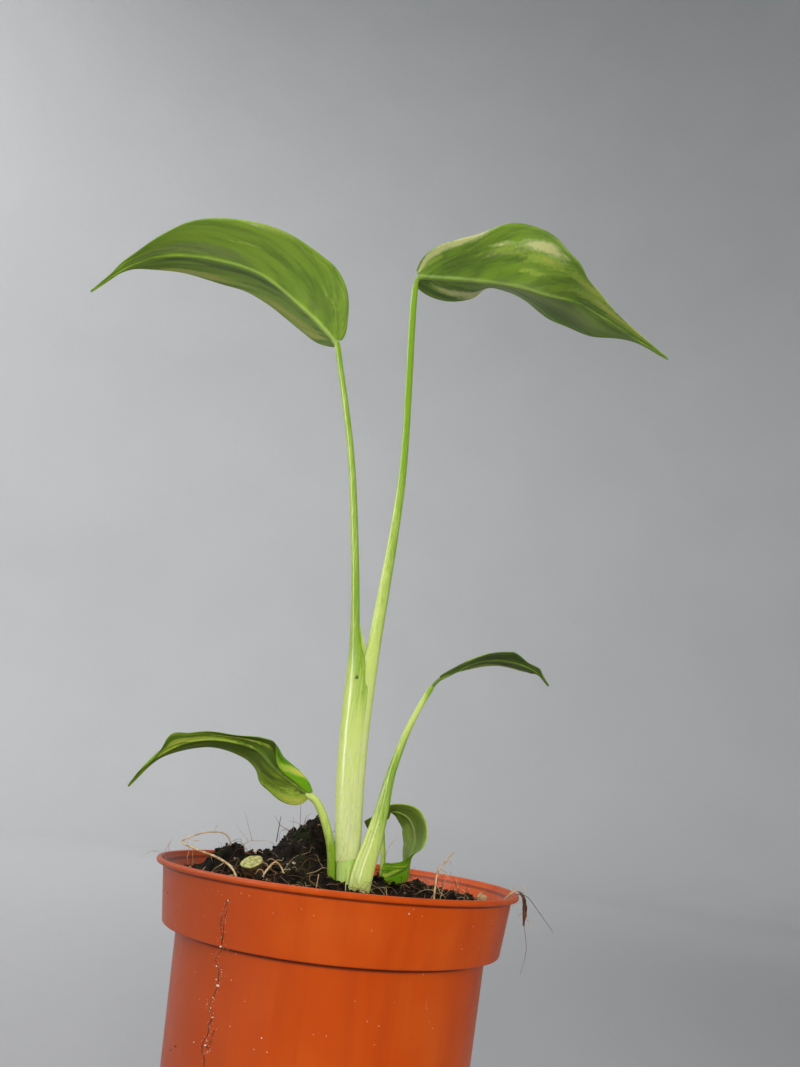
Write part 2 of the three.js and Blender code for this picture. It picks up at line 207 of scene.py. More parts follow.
bend = arc((COVE["radius"] - COVE["bend"], COVE["bend"]), COVE["bend"], -90, 0, 16)
cove_outline = [(0, 0), *bend, (COVE["radius"], COVE["height"])]
wall_paint, wall_shader, place = new_material("pale_wall_paint")
# Painted shade: the wall darkens towards the right, and the near floor darkens more strongly towards the
# right.
shaded = place.cloud(scale=0.006, detail=4).step(0.3, 0.7) * 0.1 + place.part("X").step(-300, 1100) * 0.9
wall_colour = shaded.blend(WALL, WALL_SHADED)
floor_colour = place.part("X").step(-250, 350).blend(FLOOR, FLOOR_SHADED)
on_floor = place.part("Z").step(60, 0) * place.part("Y").step(1000, 150)
feed(
    wall_shader, Base_Color=on_floor.blend(wall_colour, floor_colour), Roughness=0.9,
    Normal=bumped(place.cloud(scale=0.05, detail=5), depth=2, strength=0.3),
)
cove = new_piece("floor", turned(cove_outline, COVE["segments"]), wall_paint)

for name, lamp in LAMPS.items():
    light = bpy.data.lights.new(name, "AREA")
    light.shape = "RECTANGLE"
    light.size, light.size_y = (length * MM for length in lamp["size"])
    light.energy = lamp["power"]
    holder = bpy.data.objects.new(name, light)
    holder.visible_glossy, holder.visible_diffuse = lamp.get("in_gloss", True), lamp.get("on_surfaces", True)
    bpy.context.scene.collection.objects.link(holder)
    spot = Vector(lamp["place"]) * MM
    holder.location = spot
    holder.rotation_euler = (Vector(lamp["at"]) * MM - spot).to_track_quat("-Z", "Y").to_euler()

world = bpy.data.worlds.new("soft_grey")
world.use_nodes = True
world.node_tree.nodes["Background"].inputs["Color"].default_value = SKY_TINT
world.node_tree.nodes["Background"].inputs["Strength"].default_value = SKY_STRENGTH
bpy.context.scene.world = world
bpy.context.scene.view_settings.view_transform = "Standard"

forward = Vector((math.sin(PAN) * math.cos(TILT), math.cos(PAN) * math.cos(TILT), math.sin(TILT)))
level = Vector((math.cos(PAN), -math.sin(PAN), 0))
right = level * math.cos(LEAN) + level.cross(forward) * math.sin(LEAN)
axes = Matrix((right, right.cross(forward), -forward)).transposed()
lens = bpy.data.cameras.new("camera")
lens.sensor_fit = "HORIZONTAL"
lens.sensor_width, lens.lens = FILM_WIDTH, FOCAL_LENGTH
lens.clip_start = 0.01
camera = bpy.data.objects.new("camera", lens)
camera.matrix_world = Matrix.Translation(EYE) @ axes.to_4x4()
bpy.context.scene.collection.objects.link(camera)
bpy.context.scene.camera = camera

# Pot: one thin shell of injection-moulded terracotta-coloured plastic, with a rolled lip, a stepped
# collar, a tapered body and six drain holes. It is satin, dusty and scratched from handling. The thin
# dark lines under the lip and under the collar are painted shadow, and its left side is painted duller
# and darker as shade, with some dust haze.
POT = {
    "height": 72, "lip_radius": 0.62, "rim_radius": 42.5, "collar_top": 41, "collar_foot": 38.9,
    "collar_depth": 13.3, "body_top": 35.6, "base_radius": 31.4, "wall": 1.2, "floor": 1.5,
    "foot_round": 1, "crease_round": 0.45, "edge_round": 0.5,
    "holes": 6, "hole_radius": 3.5, "hole_circle": 21, "segments": 240,
}
# The last plastic colour is painted shade on the pot's left side, with some dust haze.
PLASTIC, PLASTIC_PALE, PLASTIC_DEEP, PLASTIC_SHADE_AND_HAZE = (192, 72, 6), (200, 84, 18), (170, 58, 6), (158, 66, 34)
# The first colour here is painted shadow, for the thin dark lines under the lip and under the collar.
PAINTED_SHADOW_LINE, TRACE_BROWN = (58, 18, 6), (128, 46, 20)
DUST, DIRT = (222, 178, 148), (66, 36, 22)
# Threads of a dried root on the wall, each point a turn from the front in degrees and a height, and the
# crumbs that stick to it and to the wall: turn, height and radius.
TRACE_THREADS = [
    [(-31.5, 67.4), (-33, 64.6), (-33.3, 62.4), (-32.5, 60.9), (-32.6, 59.3)],
    [(-31.2, 67.3), (-31.6, 65.2), (-32.3, 63), (-32, 61)],
    [(-37, 57.4), (-38.2, 56.6), (-39.2, 55.6), (-38.3, 55), (-37, 53.7), (-36.8, 51.3)],
    [(-36.8, 51.3), (-38.2, 49), (-39.8, 47.5), (-37.6, 45.7), (-38.8, 44.2), (-38.7, 42.6), (-40.4, 41.1),
     (-40.6, 39.5), (-38.9, 37.7), (-40, 33)],
    [(-36.2, 43.5), (-37.1, 41.8), (-37.6, 40.4), (-39.2, 40.6)],
]
PALE_CRUMBS = [
    (-39.3, 68.5, 0.08), (-37.2, 68.8, 0.09), (-35, 68.7, 0.1), (-31.2, 67.4, 0.2), (-32.8, 58.9, 0.3),
    (-38.2, 54.6, 0.24), (-35.7, 53.8, 0.14), (-37.7, 52.3, 0.2), (-36.8, 51.3, 0.34), (-38.2, 49, 0.24),
    (-40.8, 47.5, 0.12), (-38.7, 47.1, 0.15), (-37.5, 45.7, 0.24), (-39.2, 40.6, 0.28), (20.6, 69, 0.26),
    (21.8, 69.9, 0.14), (24.8, 68.7, 0.15), (41.7, 62.7, 0.12), (-18.1, 44.4, 0.2), (-45.2, 40.3, 0.14),
]
DARK_CRUMBS = [
    (-32.7, 70, 0.2), (-31.6, 69.6, 0.12), (-30.6, 67.5, 0.18), (-63.9, 65.5, 0.2), (-62, 65, 0.14),
    (-57, 37.8, 0.26), (-60.7, 36.5, 0.2), (-24, 70.3, 0.1),
]
TRACE_STAIN = 2.4  # reach of the stain round those threads
TRACE_CRUMBS, TRACE_SPREAD = 7, (1.1, 0.9)  # finest crumbs round each point: degrees and millimetres
RIM = POT["height"]
STEP_LEVEL = RIM - POT["collar_depth"]


def outline_of_pot():
    """The outer face from the axis up to the lip, and the inner wall from there down to the axis."""
    lip, foot, crease, edge = (POT[key] for key in ("lip_radius", "foot_round", "crease_round", "edge_round"))
    under_lip = RIM - 2 * lip
    collar_slope = (POT["collar_top"] - POT["collar_foot"]) / (under_lip - STEP_LEVEL)
    round_foot = arc((POT["base_radius"] - foot, foot), foot, -90, 0, 5)
    body_end = STEP_LEVEL - 0.35
    hollow = arc((POT["body_top"] + crease, body_end), crease, 180, 90, 4)
    collar_edge = arc((POT["collar_foot"] - edge, STEP_LEVEL + edge), edge, -90, 0, 6)
    neck = [(POT["collar_top"] - 0.1 - collar_slope * 0.6, under_lip - 0.6)]
    neck.append((POT["collar_top"] - 0.15, under_lip - 0.1))
    bead = arc((POT["rim_radius"] - lip, RIM - lip), lip, -75, 180, 18)
    inner_wall = [
        (POT["collar_top"] - POT["wall"], under_lip - 0.4),
        (POT["collar_foot"] - POT["wall"], STEP_LEVEL + POT["wall"]),
        (POT["body_top"] - POT["wall"], STEP_LEVEL + POT["wall"]),
        (POT["base_radius"] - POT["wall"], POT["floor"]),
        (20, POT["floor"]), (0, POT["floor"]),
    ]
    flare = POT["body_top"] - POT["base_radius"]
    side = [(POT["base_radius"] + flare * k / 40, foot + (body_end - foot) * k / 40) for k in range(1, 40)]
    rise = 0.9
    collar = [
        (POT["collar_foot"] + collar_slope * k * rise, STEP_LEVEL + edge + k * rise) for k in range(1, 12)
    ]
    outer_face = [(0, 0), (12, 0), (24, 0), *round_foot, *side, *hollow, *collar_edge, *collar, *neck, *bead]
    return outer_face, inner_wall


def pot_face_point(turn, z, out=0.0):
    """The point on the pot's outer face at a turn from the front in degrees and a height."""
    if z > STEP_LEVEL:
        share = (z - STEP_LEVEL) / (RIM - STEP_LEVEL)
        radius = POT["collar_foot"] + (POT["collar_top"] - POT["collar_foot"]) * share
    else:
        radius = POT["base_radius"] + (POT["body_top"] - POT["base_radius"]) * z / STEP_LEVEL
    angle = math.radians(turn)
    return (math.sin(angle) * (radius + out), -math.cos(angle) * (radius + out), z)


def distance_to_line(point, line):
    return float(np.min(np.linalg.norm(line - np.asarray(point), axis=1)))


def marked(place, label="grain"):
    """The marks of this name that a mesh's points have."""
    return place.node("Attribute", {}, {"attribute_name": label}, output="Vector")


def dotted(place, scale, reach, axis="X"):
    """Dots, 1 in the middle and 0 outside, strewn over a place, and one random number for each dot."""
    cells = {"Vector": place, "Scale": scale, "Randomness": 1}
    dots = place.node("TexVoronoi", cells, output="Distance").step(*reach)
    return dots, place.node("TexVoronoi", cells, output="Color").part(axis)


def drilled(piece, drills):
    """Cuts the drills out of the piece and removes them."""
    for drill in drills:
        cut = piece.modifiers.new("cut", "BOOLEAN")
        cut.operation, cut.object, cut.solver = "DIFFERENCE", drill, "EXACT"
    graph = bpy.context.evaluated_depsgraph_get()
    mesh = bpy.data.meshes.new_from_object(piece.evaluated_get(graph))
    piece.modifiers.clear()
    piece.data = mesh
    for drill in drills:
        bpy.data.objects.remove(drill)


pot_plastic, pot_shader, place = new_material("satin_terracotta_plastic")
height = place.part("Z")
flow = place.stretched(0.16, 0.16, 0.01).cloud(detail=4, roughness=0.6)
mottle = place.cloud(scale=0.05, detail=3)
specks, chance = dotted(place, scale=0.32, reach=(0.09, 0.05))
pale_specks, dark_specks = specks * chance.step(0.97, 0.98), specks * chance.step(0.03, 0.02)
fine_dust, chance = dotted(place, scale=1.3, reach=(0.2, 0.12), axis="Y")
fine_dust = fine_dust * chance.step(0.965, 0.975)
scratches = place.stretched(1.9, 1.9, 0.12, 7).cloud(detail=2, roughness=0.7).step(0.71, 0.78)
scratches = scratches * place.cloud(scale=0.09, detail=1).step(0.56, 0.66)
shell = marked(place)
inner_face, trace = shell.part("X"), shell.part("Y")
soil_dust = height.step(RIM - 0.5, RIM - 3.6) * inner_face * place.cloud(scale=0.9, detail=5).step(0.35, 0.6)
trace_stain = trace * place.cloud(scale=0.8, detail=4, roughness=0.7).step(0.42, 0.62)
# The left of the pot is painted duller and darker: painted shade, with some dust haze.
left_shade_and_haze = (place.part("X") + (flow - 0.5) * 24).step(-6, -30)
dust = (pale_specks.highest(fine_dust) * 0.8).highest(scratches * 0.3).highest(trace_stain * 0.35)
# Painted shadow: thin dark bands just under the collar and just under the lip.
collar_shadow = height.step(STEP_LEVEL - 1.2, STEP_LEVEL - 0.7) * height.step(STEP_LEVEL + 0.2, STEP_LEVEL)
under_lip = height.step(RIM - 1.9, RIM - 1.6) * height.step(RIM - 1.05, RIM - 1.25)
plastic = layered(
    mottle.step(0.35, 0.68).blend(PLASTIC, PLASTIC_PALE),
    (flow.step(0.45, 0.7) * 0.4, PLASTIC_DEEP),
    (left_shade_and_haze * 0.6, PLASTIC_SHADE_AND_HAZE),
    (trace * (flow.step(0.3, 0.6) * 0.5 + 0.2), TRACE_BROWN),
    (dust, DUST),
    (dark_specks.highest(soil_dust * 0.85), DIRT),
    ((collar_shadow * 0.85).highest(under_lip * 0.6) * (1 - inner_face), PAINTED_SHADOW_LINE),
)
grain, drawn = place.cloud(scale=3.5, detail=3), place.stretched(1.2, 1.2, 0.15).cloud(detail=4)
feed(
    pot_shader,
    Base_Color=plastic,
    Roughness=0.3 + place.cloud(scale=0.3, detail=4) * 0.16 + scratches * 0.2,
    Normal=bumped(grain * 0.5 + drawn * 0.5, depth=0.05, strength=0.4),
    Specular_IOR_Level=0.2,
)
outer_face, inner_wall = outline_of_pot()
pot_points, pot_faces = turned(outer_face + inner_wall, POT["segments"])
trace_line = np.array([pot_face_point(turn, z) for thread in TRACE_THREADS for turn, z in thread])
outer_points = len(turned(outer_face, POT["segments"])[0])
on_inner_wall = np.arange(len(pot_points)) >= outer_points
near_trace = [max(0, 1 - distance_to_line(point, trace_line) / TRACE_STAIN) for point in pot_points]
shell_marks = {"grain": np.stack([on_inner_wall, near_trace, on_inner_wall * 0], axis=1)}
pot_piece = new_piece("nursery_pot", (pot_points, pot_faces, shell_marks), pot_plastic)
drill_points, drill_faces = turned([(0, -3), (POT["hole_radius"], -3), (POT["hole_radius"], 5), (0, 5)], 40)
drills = []
for k in range(POT["holes"]):
    turn = 2 * math.pi * k / POT["holes"]
    shift = POT["hole_circle"] * np.array([math.cos(turn), math.sin(turn), 0])
    drills.append(new_piece(f"drill_{k}", (np.array(drill_points) + shift, drill_faces), pot_plastic))
drilled(pot_piece, drills)
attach(pot_piece, "root")
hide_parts("pot")

# Soil: dark damp peat that fills the pot. It is heaped behind the stems, low at the right and along the
# wall, and crumbly on top, with grains and a few pale mineral specks in it.
SOIL = {
    "level": -4,  # from the rim
    "reach": 39.7,  # radius at which its top meets the wall
    "heaped_to": 37.5, "strewn_to": 38, "rings": 104, "segments": 360,
}
MOUNDS = [
    {"x": -8.5, "y": 10, "height": 13.8, "spread_x": 9.5, "spread_y": 11},
    {"x": -28, "y": 7, "height": 6.5, "spread_x": 6, "spread_y": 7},
    {"x": 12, "y": 2, "height": 2.2, "spread_x": 9, "spread_y": 9},
    {"x": -12, "y": -14, "height": 2.4, "spread_x": 14, "spread_y": 10},
]
CRUMBS, GRAINS, SPECKS = 220, 1500, 40
PEAT, PEAT_WARM, PEAT_DRY, MOSS = (15, 12, 8), (36, 26, 14), (84, 62, 38), (58, 74, 22)
MINERAL, MINERAL_DIRTY = (206, 194, 168), (150, 128, 96)


def smooth_step(value, low, high):
    share = np.clip((value - low) / (high - low), 0, 1)
    return share * share * (3 - 2 * share)


def soil_height(x, y):
    """Height of the soil without its crumbs."""
    heap = sum(
        mound["height"] * math.exp(-(((x - mound["x"]) / mound["spread_x"]) ** 2)
                                   - ((y - mound["y"]) / mound["spread_y"]) ** 2)
        for mound in MOUNDS
    )
    lumps = 0.7 * math.sin(0.83 * x + 1.3) * math.sin(0.71 * y + 0.4)
    lumps += 0.5 * math.sin(1.47 * x - 0.9 * y) * math.cos(1.1 * y + 0.5 * x)
    off_wall = float(smooth_step(SOIL["heaped_to"] - math.hypot(x, y), 0, 8))
    return RIM + SOIL["level"] + (heap + lumps) * off_wall


def crumbly(point, size):
    """How far a crumb of about this size stands out at a point: 0 in the cracks and 1 on top."""
    nearest = noise.voronoi(Vector(point) / size)[0][0]
    return 1 - min(1, nearest) ** 2


def soil_surface(x, y):
    z = soil_height(x, y)
    heaped = min(1, max(0, (z - RIM + 1) / 6))
    off_wall = float(smooth_step(SOIL["reach"] - math.hypot(x, y), 0, 2.5))
    crumbs = (1.5 + 0.9 * heaped) * (crumbly((x, y, z), 3.1) - 0.55) + 0.6 * (crumbly((x, y, z), 1.3) - 0.5)
    rough = 1.5 * noise.fractal((x / 4.5, y / 4.5, z / 4.5), 0.7, 2.2, 5)
    return z + (crumbs + rough) * (0.25 + 0.75 * off_wall)


def ball(subdivisions):
    mesh = bmesh.new()
    bmesh.ops.create_icosphere(mesh, subdivisions=subdivisions, radius=1)
    points = [corner.co.copy() for corner in mesh.verts]
    faces = [[corner.index for corner in face.verts] for face in mesh.faces]
    mesh.free()
    return points, faces


def chunk(shape, centre, size, draw):
    """Points of a rough crumb: a ball squeezed, turned and dented at random."""
    squeeze = (draw.uniform(0.7, 1.25), draw.uniform(0.6, 1.1), draw.uniform(0.5, 0.9))
    turn = Matrix.Rotation(draw.uniform(0, 6.3), 3, "Z") @ Matrix.Rotation(draw.uniform(0, 3.1), 3, "X")
    drift = Vector((draw.uniform(0, 90), draw.uniform(0, 90), 0))
    points = []
    for corner in shape:
        dent = size * (1 + 0.55 * noise.noise(corner * 1.7 + drift))
        points.append(Vector(centre) + turn @ Vector([c * s * dent for c, s in zip(corner, squeeze)]))
    return points


def joined(parts):
    """One body from parts of points, faces and a mark for each point."""
    points, faces, marks = [], [], []
    for part_points, part_faces, part_marks in parts:
        start = len(points)
        points += [tuple(point) for point in part_points]
        faces += [[start + corner for corner in face] for face in part_faces]
        marks += list(part_marks)
    return points, faces, {"grain": marks}


def anywhere(draw):
    return [draw.uniform(-SOIL["strewn_to"], SOIL["strewn_to"]) for _ in range(2)]


def strewn(count, sizes, shape, draw, sink=0.25):
    """Crumbs strewn over the soil, more of them on the heap, each with random marks. sink is the share of
    a crumb's size that its middle stands above the soil."""
    parts = []
    while len(parts) < count:
        x, y = anywhere(draw)
        likely = 0.45 + (soil_height(x, y) - RIM - SOIL["level"]) / 12
        if math.hypot(x, y) > SOIL["reach"] - 1.6 or draw.random() > likely:
            continue
        size = draw.uniform(*sizes)
        points = chunk(shape[0], (x, y, soil_surface(x, y) + size * sink), size, draw)
        parts.append((points, shape[1], [(draw.random(), draw.random(), 0)] * len(points)))
    return parts


def soil_body():
    """The soil as one closed body: plain foot and sides inside the pot, and the crumbly top."""
    gap = 0.3
    foot, ledge, inset = POT["floor"] + gap, STEP_LEVEL + POT["wall"] + gap, POT["wall"] + gap
    outline = [
        (0, foot), (POT["base_radius"] - inset, foot),
        (POT["body_top"] - inset, ledge), (POT["collar_foot"] - inset, ledge),
    ]
    side_rings = len(outline)
    outline += [(SOIL["reach"] * k / SOIL["rings"], RIM) for k in range(SOIL["rings"], -1, -1)]
    points, faces = turned(outline, SOIL["segments"])
    top = 1 + (side_rings - 1) * SOIL["segments"]
    points[top:] = [(x, y, soil_surface(x, y)) for x, y, _ in points[top:]]
    return points, faces


peat, peat_shader, place = new_material("damp_peat")
crumb = marked(place)
peat_tone = place.cloud(scale=0.8, detail=6, roughness=0.65)
mossy = place.cloud(scale=0.16, detail=3).step(0.52, 0.62) * place.cloud(scale=2.5, detail=5).step(0.48, 0.6)
dry_flecks = place.stretched(3, 3, 3).cloud(detail=3, roughness=0.8).step(0.63, 0.7)
dry = (dry_flecks * 0.5).highest(crumb.part("X").step(0.86, 0.95) * 0.6)
peat_colour = layered(
    peat_tone.step(0.42, 0.62).blend(PEAT, PEAT_WARM), (mossy * 0.55, MOSS), (dry, PEAT_DRY),
)
feed(
    peat_shader, Base_Color=peat_colour, Roughness=0.8 + peat_tone * 0.2,
    Normal=bumped(place.cloud(scale=2.2, detail=8, roughness=0.75), depth=0.9, strength=0.9),
    Specular_IOR_Level=0.25,
)
soil_piece = new_piece("soil_top", soil_body(), peat)
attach(soil_piece, "root")
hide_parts("soil")

draw = random.Random(11)
coarse, fine = ball(2), ball(1)
parts = strewn(CRUMBS, sizes=(0.4, 1.05), shape=coarse, draw=draw)
parts += strewn(GRAINS, sizes=(0.14, 0.5), shape=fine, draw=draw)
crumbs_piece = new_piece("peat_crumbs", joined(parts), peat)
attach(crumbs_piece, "root")

pale_stone, stone_shader, place = new_material("pale_mineral")
stone_tone = place.cloud(scale=1.5, detail=4).step(0.35, 0.6)
feed(
    stone_shader, Base_Color=stone_tone.blend(MINERAL, MINERAL_DIRTY), Roughness=0.85,
    Normal=bumped(place.cloud(scale=4, detail=4), depth=0.3, strength=0.8),
)
parts = strewn(SPECKS, sizes=(0.22, 0.55), shape=coarse, draw=draw, sink=0.7)
specks_piece = new_piece("mineral_specks", joined(parts), pale_stone)
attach(specks_piece, "root")

# Crown: the short stem joint that all the leaves grow from, with a ring scar at its top, and the main
# roots that hold it in the soil. It is living tissue, pale green above the soil and tan below it.
CROWN = {
    "path": [(1.9, -4, 46), (2.2, -4, 54), (2.2, -4, 63), (2, -4, 70), (1.5, -4, RIM + 3.4)],
    "wide": [1.4, 3, 2.6, 2.6, 2.78], "deep": [1.4, 3, 2.5, 2.3, 2.15],
}
MAIN_ROOTS, ROOT_STOPS = 5, [(0, 55), (6, 51), (14, 42), (20, 28)]  # stops: reach and height
CROWN_PALE, CROWN_GREEN, ROOT_TAN = (200, 222, 128), (176, 208, 96), (176, 138, 92)


def spline(points, t):
    """A smooth curve through evenly spaced points, at each t from 0 to 1."""
    points = np.asarray(points, float)
    if len(points) == 1:
        return np.repeat(points, len(t), axis=0)
    spans = len(points) - 1
    padded = np.vstack([2 * points[0] - points[1], points, 2 * points[-1] - points[-2]])
    place = np.clip(np.asarray(t, float), 0, 1) * spans
    span = np.minimum(place.astype(int), spans - 1)
    k = (place - span)[:, None]
    a, b, c, d = (padded[span + i] for i in range(4))
    return 0.5 * (2 * b + (c - a) * k + (2 * a - 5 * b + 4 * c - d) * k**2 + (3 * b - a - 3 * c + d) * k**3)


def profile(values, t):
    return spline([[value] for value in values], t)[:, 0]


def unit(vectors):
    return vectors / np.linalg.norm(vectors, axis=-1, keepdims=True)


def swept(path, wide, deep=None, level=(0, 1, 0), sides=32, rings=60, shape=None, round_foot=True,
          round_head=True, tone=(0,)):
    """An oval tube along a path with round ends. Each point's mark holds its place along the tube in
    millimetres, its side from -1 at the left to 1 at the right, and its tone."""
    ends = np.sin(np.linspace(0, math.pi / 2, 7))[:-1]
    t = np.linspace(0, 1, rings + 1)
    centres, half_wide, half_deep = spline(path, t), profile(wide, t), profile(deep or wide, t)
    tangents = unit(np.gradient(centres, axis=0))
    level = np.asarray(level, float)
    back = unit(level - tangents * (tangents @ level)[:, None])
    across = np.cross(back, tangents)
    run = np.concatenate([[0], np.cumsum(np.linalg.norm(np.diff(centres, axis=0), axis=1))])
    tones = profile(tone, t)
    order = [(0, end, -math.sqrt(1 - end * end)) for end in ends] if round_foot else []
    order += [(i, 1, 0) for i in range(rings + 1)]
    order += [(rings, end, math.sqrt(1 - end * end)) for end in ends[::-1]] if round_head else []
    order = [(i, max(end, 0.05), past) for i, end, past in order]
    turns = 2 * math.pi * np.arange(sides) / sides
    points, marks = [], []
    for i, shrink, past in order:
        x, y = np.cos(turns) * half_wide[i], np.sin(turns) * half_deep[i]
        if shape is not None:
            x, y = shape(centres[i], turns, x, y)
        middle = centres[i] + tangents[i] * past * min(half_wide[i], half_deep[i])
        points += list(middle + shrink * (x[:, None] * across[i] + y[:, None] * back[i]))
        marks += [(run[i], math.cos(turn), tones[i]) for turn in turns]
    faces = [list(range(sides))[::-1]]
    for ring in range(len(order) - 1):
        here, there = ring * sides, (ring + 1) * sides
        around = [(k, (k + 1) % sides) for k in range(sides)]
        faces += [(here + k, here + after, there + after, there + k) for k, after in around]
    faces.append([len(points) - sides + k for k in range(sides)])
    return points, faces, marks


def knobbly(depth, size):
    """Makes a tube uneven by a share of its width, in swells of about a size."""
    def shape(centre, turns, x, y):
        swell = np.array([
            1 + depth * noise.noise(Vector(centre) / size + Vector((math.cos(turn), math.sin(turn), 0)))
            for turn in turns
        ])
        return x * swell, y * swell
    return shape


def main_root(k):
    start = CROWN["path"][1]
    angle = (2 * k + 0.6) * math.pi / MAIN_ROOTS
    stops = ROOT_STOPS + [(22, 12 + 4 * (k % 3))]
    path = [(start[0] + reach * math.cos(angle), start[1] + reach * math.sin(angle), z) for reach, z in stops]
    wide = [1.3, 1.1, 1, 0.8, 0.5]
    return swept(path, wide, level=(0, 0, 1), sides=14, rings=40, shape=knobbly(depth=0.3, size=2))


crown_skin, crown_shader, place = new_material("crown_skin")
streaks = place.stretched(2.6, 2.6, 0.15).cloud(detail=4)
crown_colour = streaks.step(0.35, 0.65).blend(CROWN_PALE, CROWN_GREEN)
below = (place.part("Z") + place.cloud(scale=0.7, detail=3) * 4).step(RIM - 0.2, RIM - 2.4)
feed(
    crown_shader, Base_Color=below.blend(crown_colour, ROOT_TAN), Roughness=0.42 + streaks * 0.12,
    Normal=bumped(streaks, depth=0.1, strength=0.5), Subsurface_Weight=0.3, Subsurface_Scale=1.2 * MM,
)
joint = swept(**CROWN, sides=48, rings=80, round_head=False)
crown_body = joined([joint] + [main_root(k) for k in range(MAIN_ROOTS)])
crown_piece = new_piece("crown_and_roots", crown_body, crown_skin)
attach(crown_piece, "root")
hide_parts("crown")

# Petioles: the leaf stalks. The two tall ones wrap round each other as a sheathed stem and part above the
# low leaves. The low right one opens into a wide pale sheath at its foot. All are smooth and juicy, green
# above, nearly white below and finely streaked lengthwise. Each is painted paler on its left side and
# greener on its right as painted light.
PETIOLES = {
    "petiole_upper_left": {
        "path": [(-0.2, -4, RIM + 2.6), (-0.7, -4, 80), (-1.8, -4, 91), (-2.4, -4.1, 103), (-2.7, -4.3, 115),
                 (-3.5, -4.8, 128), (-6, -5.8, 148), (-11, -7, 178), (-18.9, -8.2, 209.8)],
        "wide": [1.2, 1.45, 1.65, 1.75, 1.7, 1.25, 1.1, 0.95, 0.8],
        "deep": [2.0, 2.3, 2.4, 2.3, 2.1, 1.5, 1.2, 1.05, 0.8],
        "tone": [1.35, 1.35, 1.2, 1, 0.55, 0.3, 0.4, 0.4, 0.35], "rings": 240,
    },
    "petiole_upper_right": {
        "path": [(2.8, -4, RIM + 2.6), (2.65, -4, 80), (1.9, -4, 91), (1.45, -4, 103), (1.4, -3.8, 115),
                 (1.8, -3.1, 128), (3.6, 1, 161), (3.8, 4.2, 186), (1.5, 7, 231), (1.2, 7.8, 243.5)],
        "wide": [1.5, 1.5, 1.6, 1.65, 1.8, 1.7, 1.3, 1.1, 1.1, 0.95],
        "deep": [2.0, 2.3, 2.4, 2.3, 2.3, 1.8, 1.3, 1.1, 1.1, 0.95],
        "tone": [1.35, 1.35, 1.25, 1.15, 1, 0.8, 0.45, 0.15, 0, 0], "rings": 260,
    },
    "petiole_lower_left": {
        "path": [(-1.6, -3, 64), (-1.8, -3.6, 71), (-2.9, -5, 78), (-5.1, -6, 83.5), (-7.4, -7, 87.2),
                 (-9.6, -7.1, 88.6)],
        "wide": [1, 1, 1, 1, 0.9, 0.85], "tone": [0, 0.05, 0.3, 0.7, 0.85, 0.9], "rings": 100,
    },
    "petiole_lower_right": {
        "path": [(4.8, -7.6, 64), (5.3, -7.8, 72), (7, -7, 80), (8.3, -6, 87), (9.4, -5, 95),
                 (11.9, -4, 104.5), (14.6, -3.4, 111.6), (17.4, -3, 117.4)],
        "wide": [2.3, 2.45, 2.05, 1.6, 1.15, 0.9, 0.75, 0.68],
        "deep": [1.2, 1.3, 1.35, 1.35, 1.15, 0.9, 0.75, 0.68],
        # The pale bands in this tone are partly the stalk's own pale patches and partly painted highlights.
        "tone": [1.05, 1, 0.8, 0.55, 0.3, 0.35, 0.75, 0.85, 0.2], "rings": 170,
    },
    "petiole_curled": {
        "path": [(10.4, 2.4, 64), (10.3, 3, 74), (9.6, 4, 80), (8.9, 4.9, 85.9)],
        "wide": [0.7, 0.65, 0.6, 0.6], "tone": [0.5, 0.5, 0.5, 0.4], "rings": 50,
    },
}
SHEATH_TOP, SHEATH_BLEND = 130, 16  # where the two tall petioles part, and the length over which they do
SEAM_SHARE, SHEATH_LAP = 0.6, 0.75  # radians: half of the turn that lies against the neighbour, and the lap
# The thin web that closes the fork where the tall petioles part.
WEB = {
    "path": [(-2.4, -4.9, 131), (-1.8, -4.8, 128), (-1.1, -4.6, 125), (-0.6, -4.4, 121.5)],
    "wide": [0.08, 0.4, 0.85, 0.6], "deep": [0.07], "tone": [0.5],
}
STEM_GREEN, STEM_PALE, STEM_CREAM = (130, 168, 40), (204, 220, 122), (232, 238, 180)
STEM_STREAK, STEM_PIT, STEM_BRUISED = (104, 146, 44), (118, 104, 50), (58, 66, 26)
STEM_SHINE, BRUISE_PLACE = (250, 250, 226), (-1.6, -6.3, 117.5)


def at_height(petiole, z):
    """A petiole's centre x and y and its half widths at a height."""
    t = np.linspace(0, 1, 300)
    centres = spline(petiole["path"], t)
    values = centres[:, 0], centres[:, 1], profile(petiole["wide"], t), profile(petiole["deep"], t)
    return [float(np.interp(z, centres[:, 2], column)) for column in values]


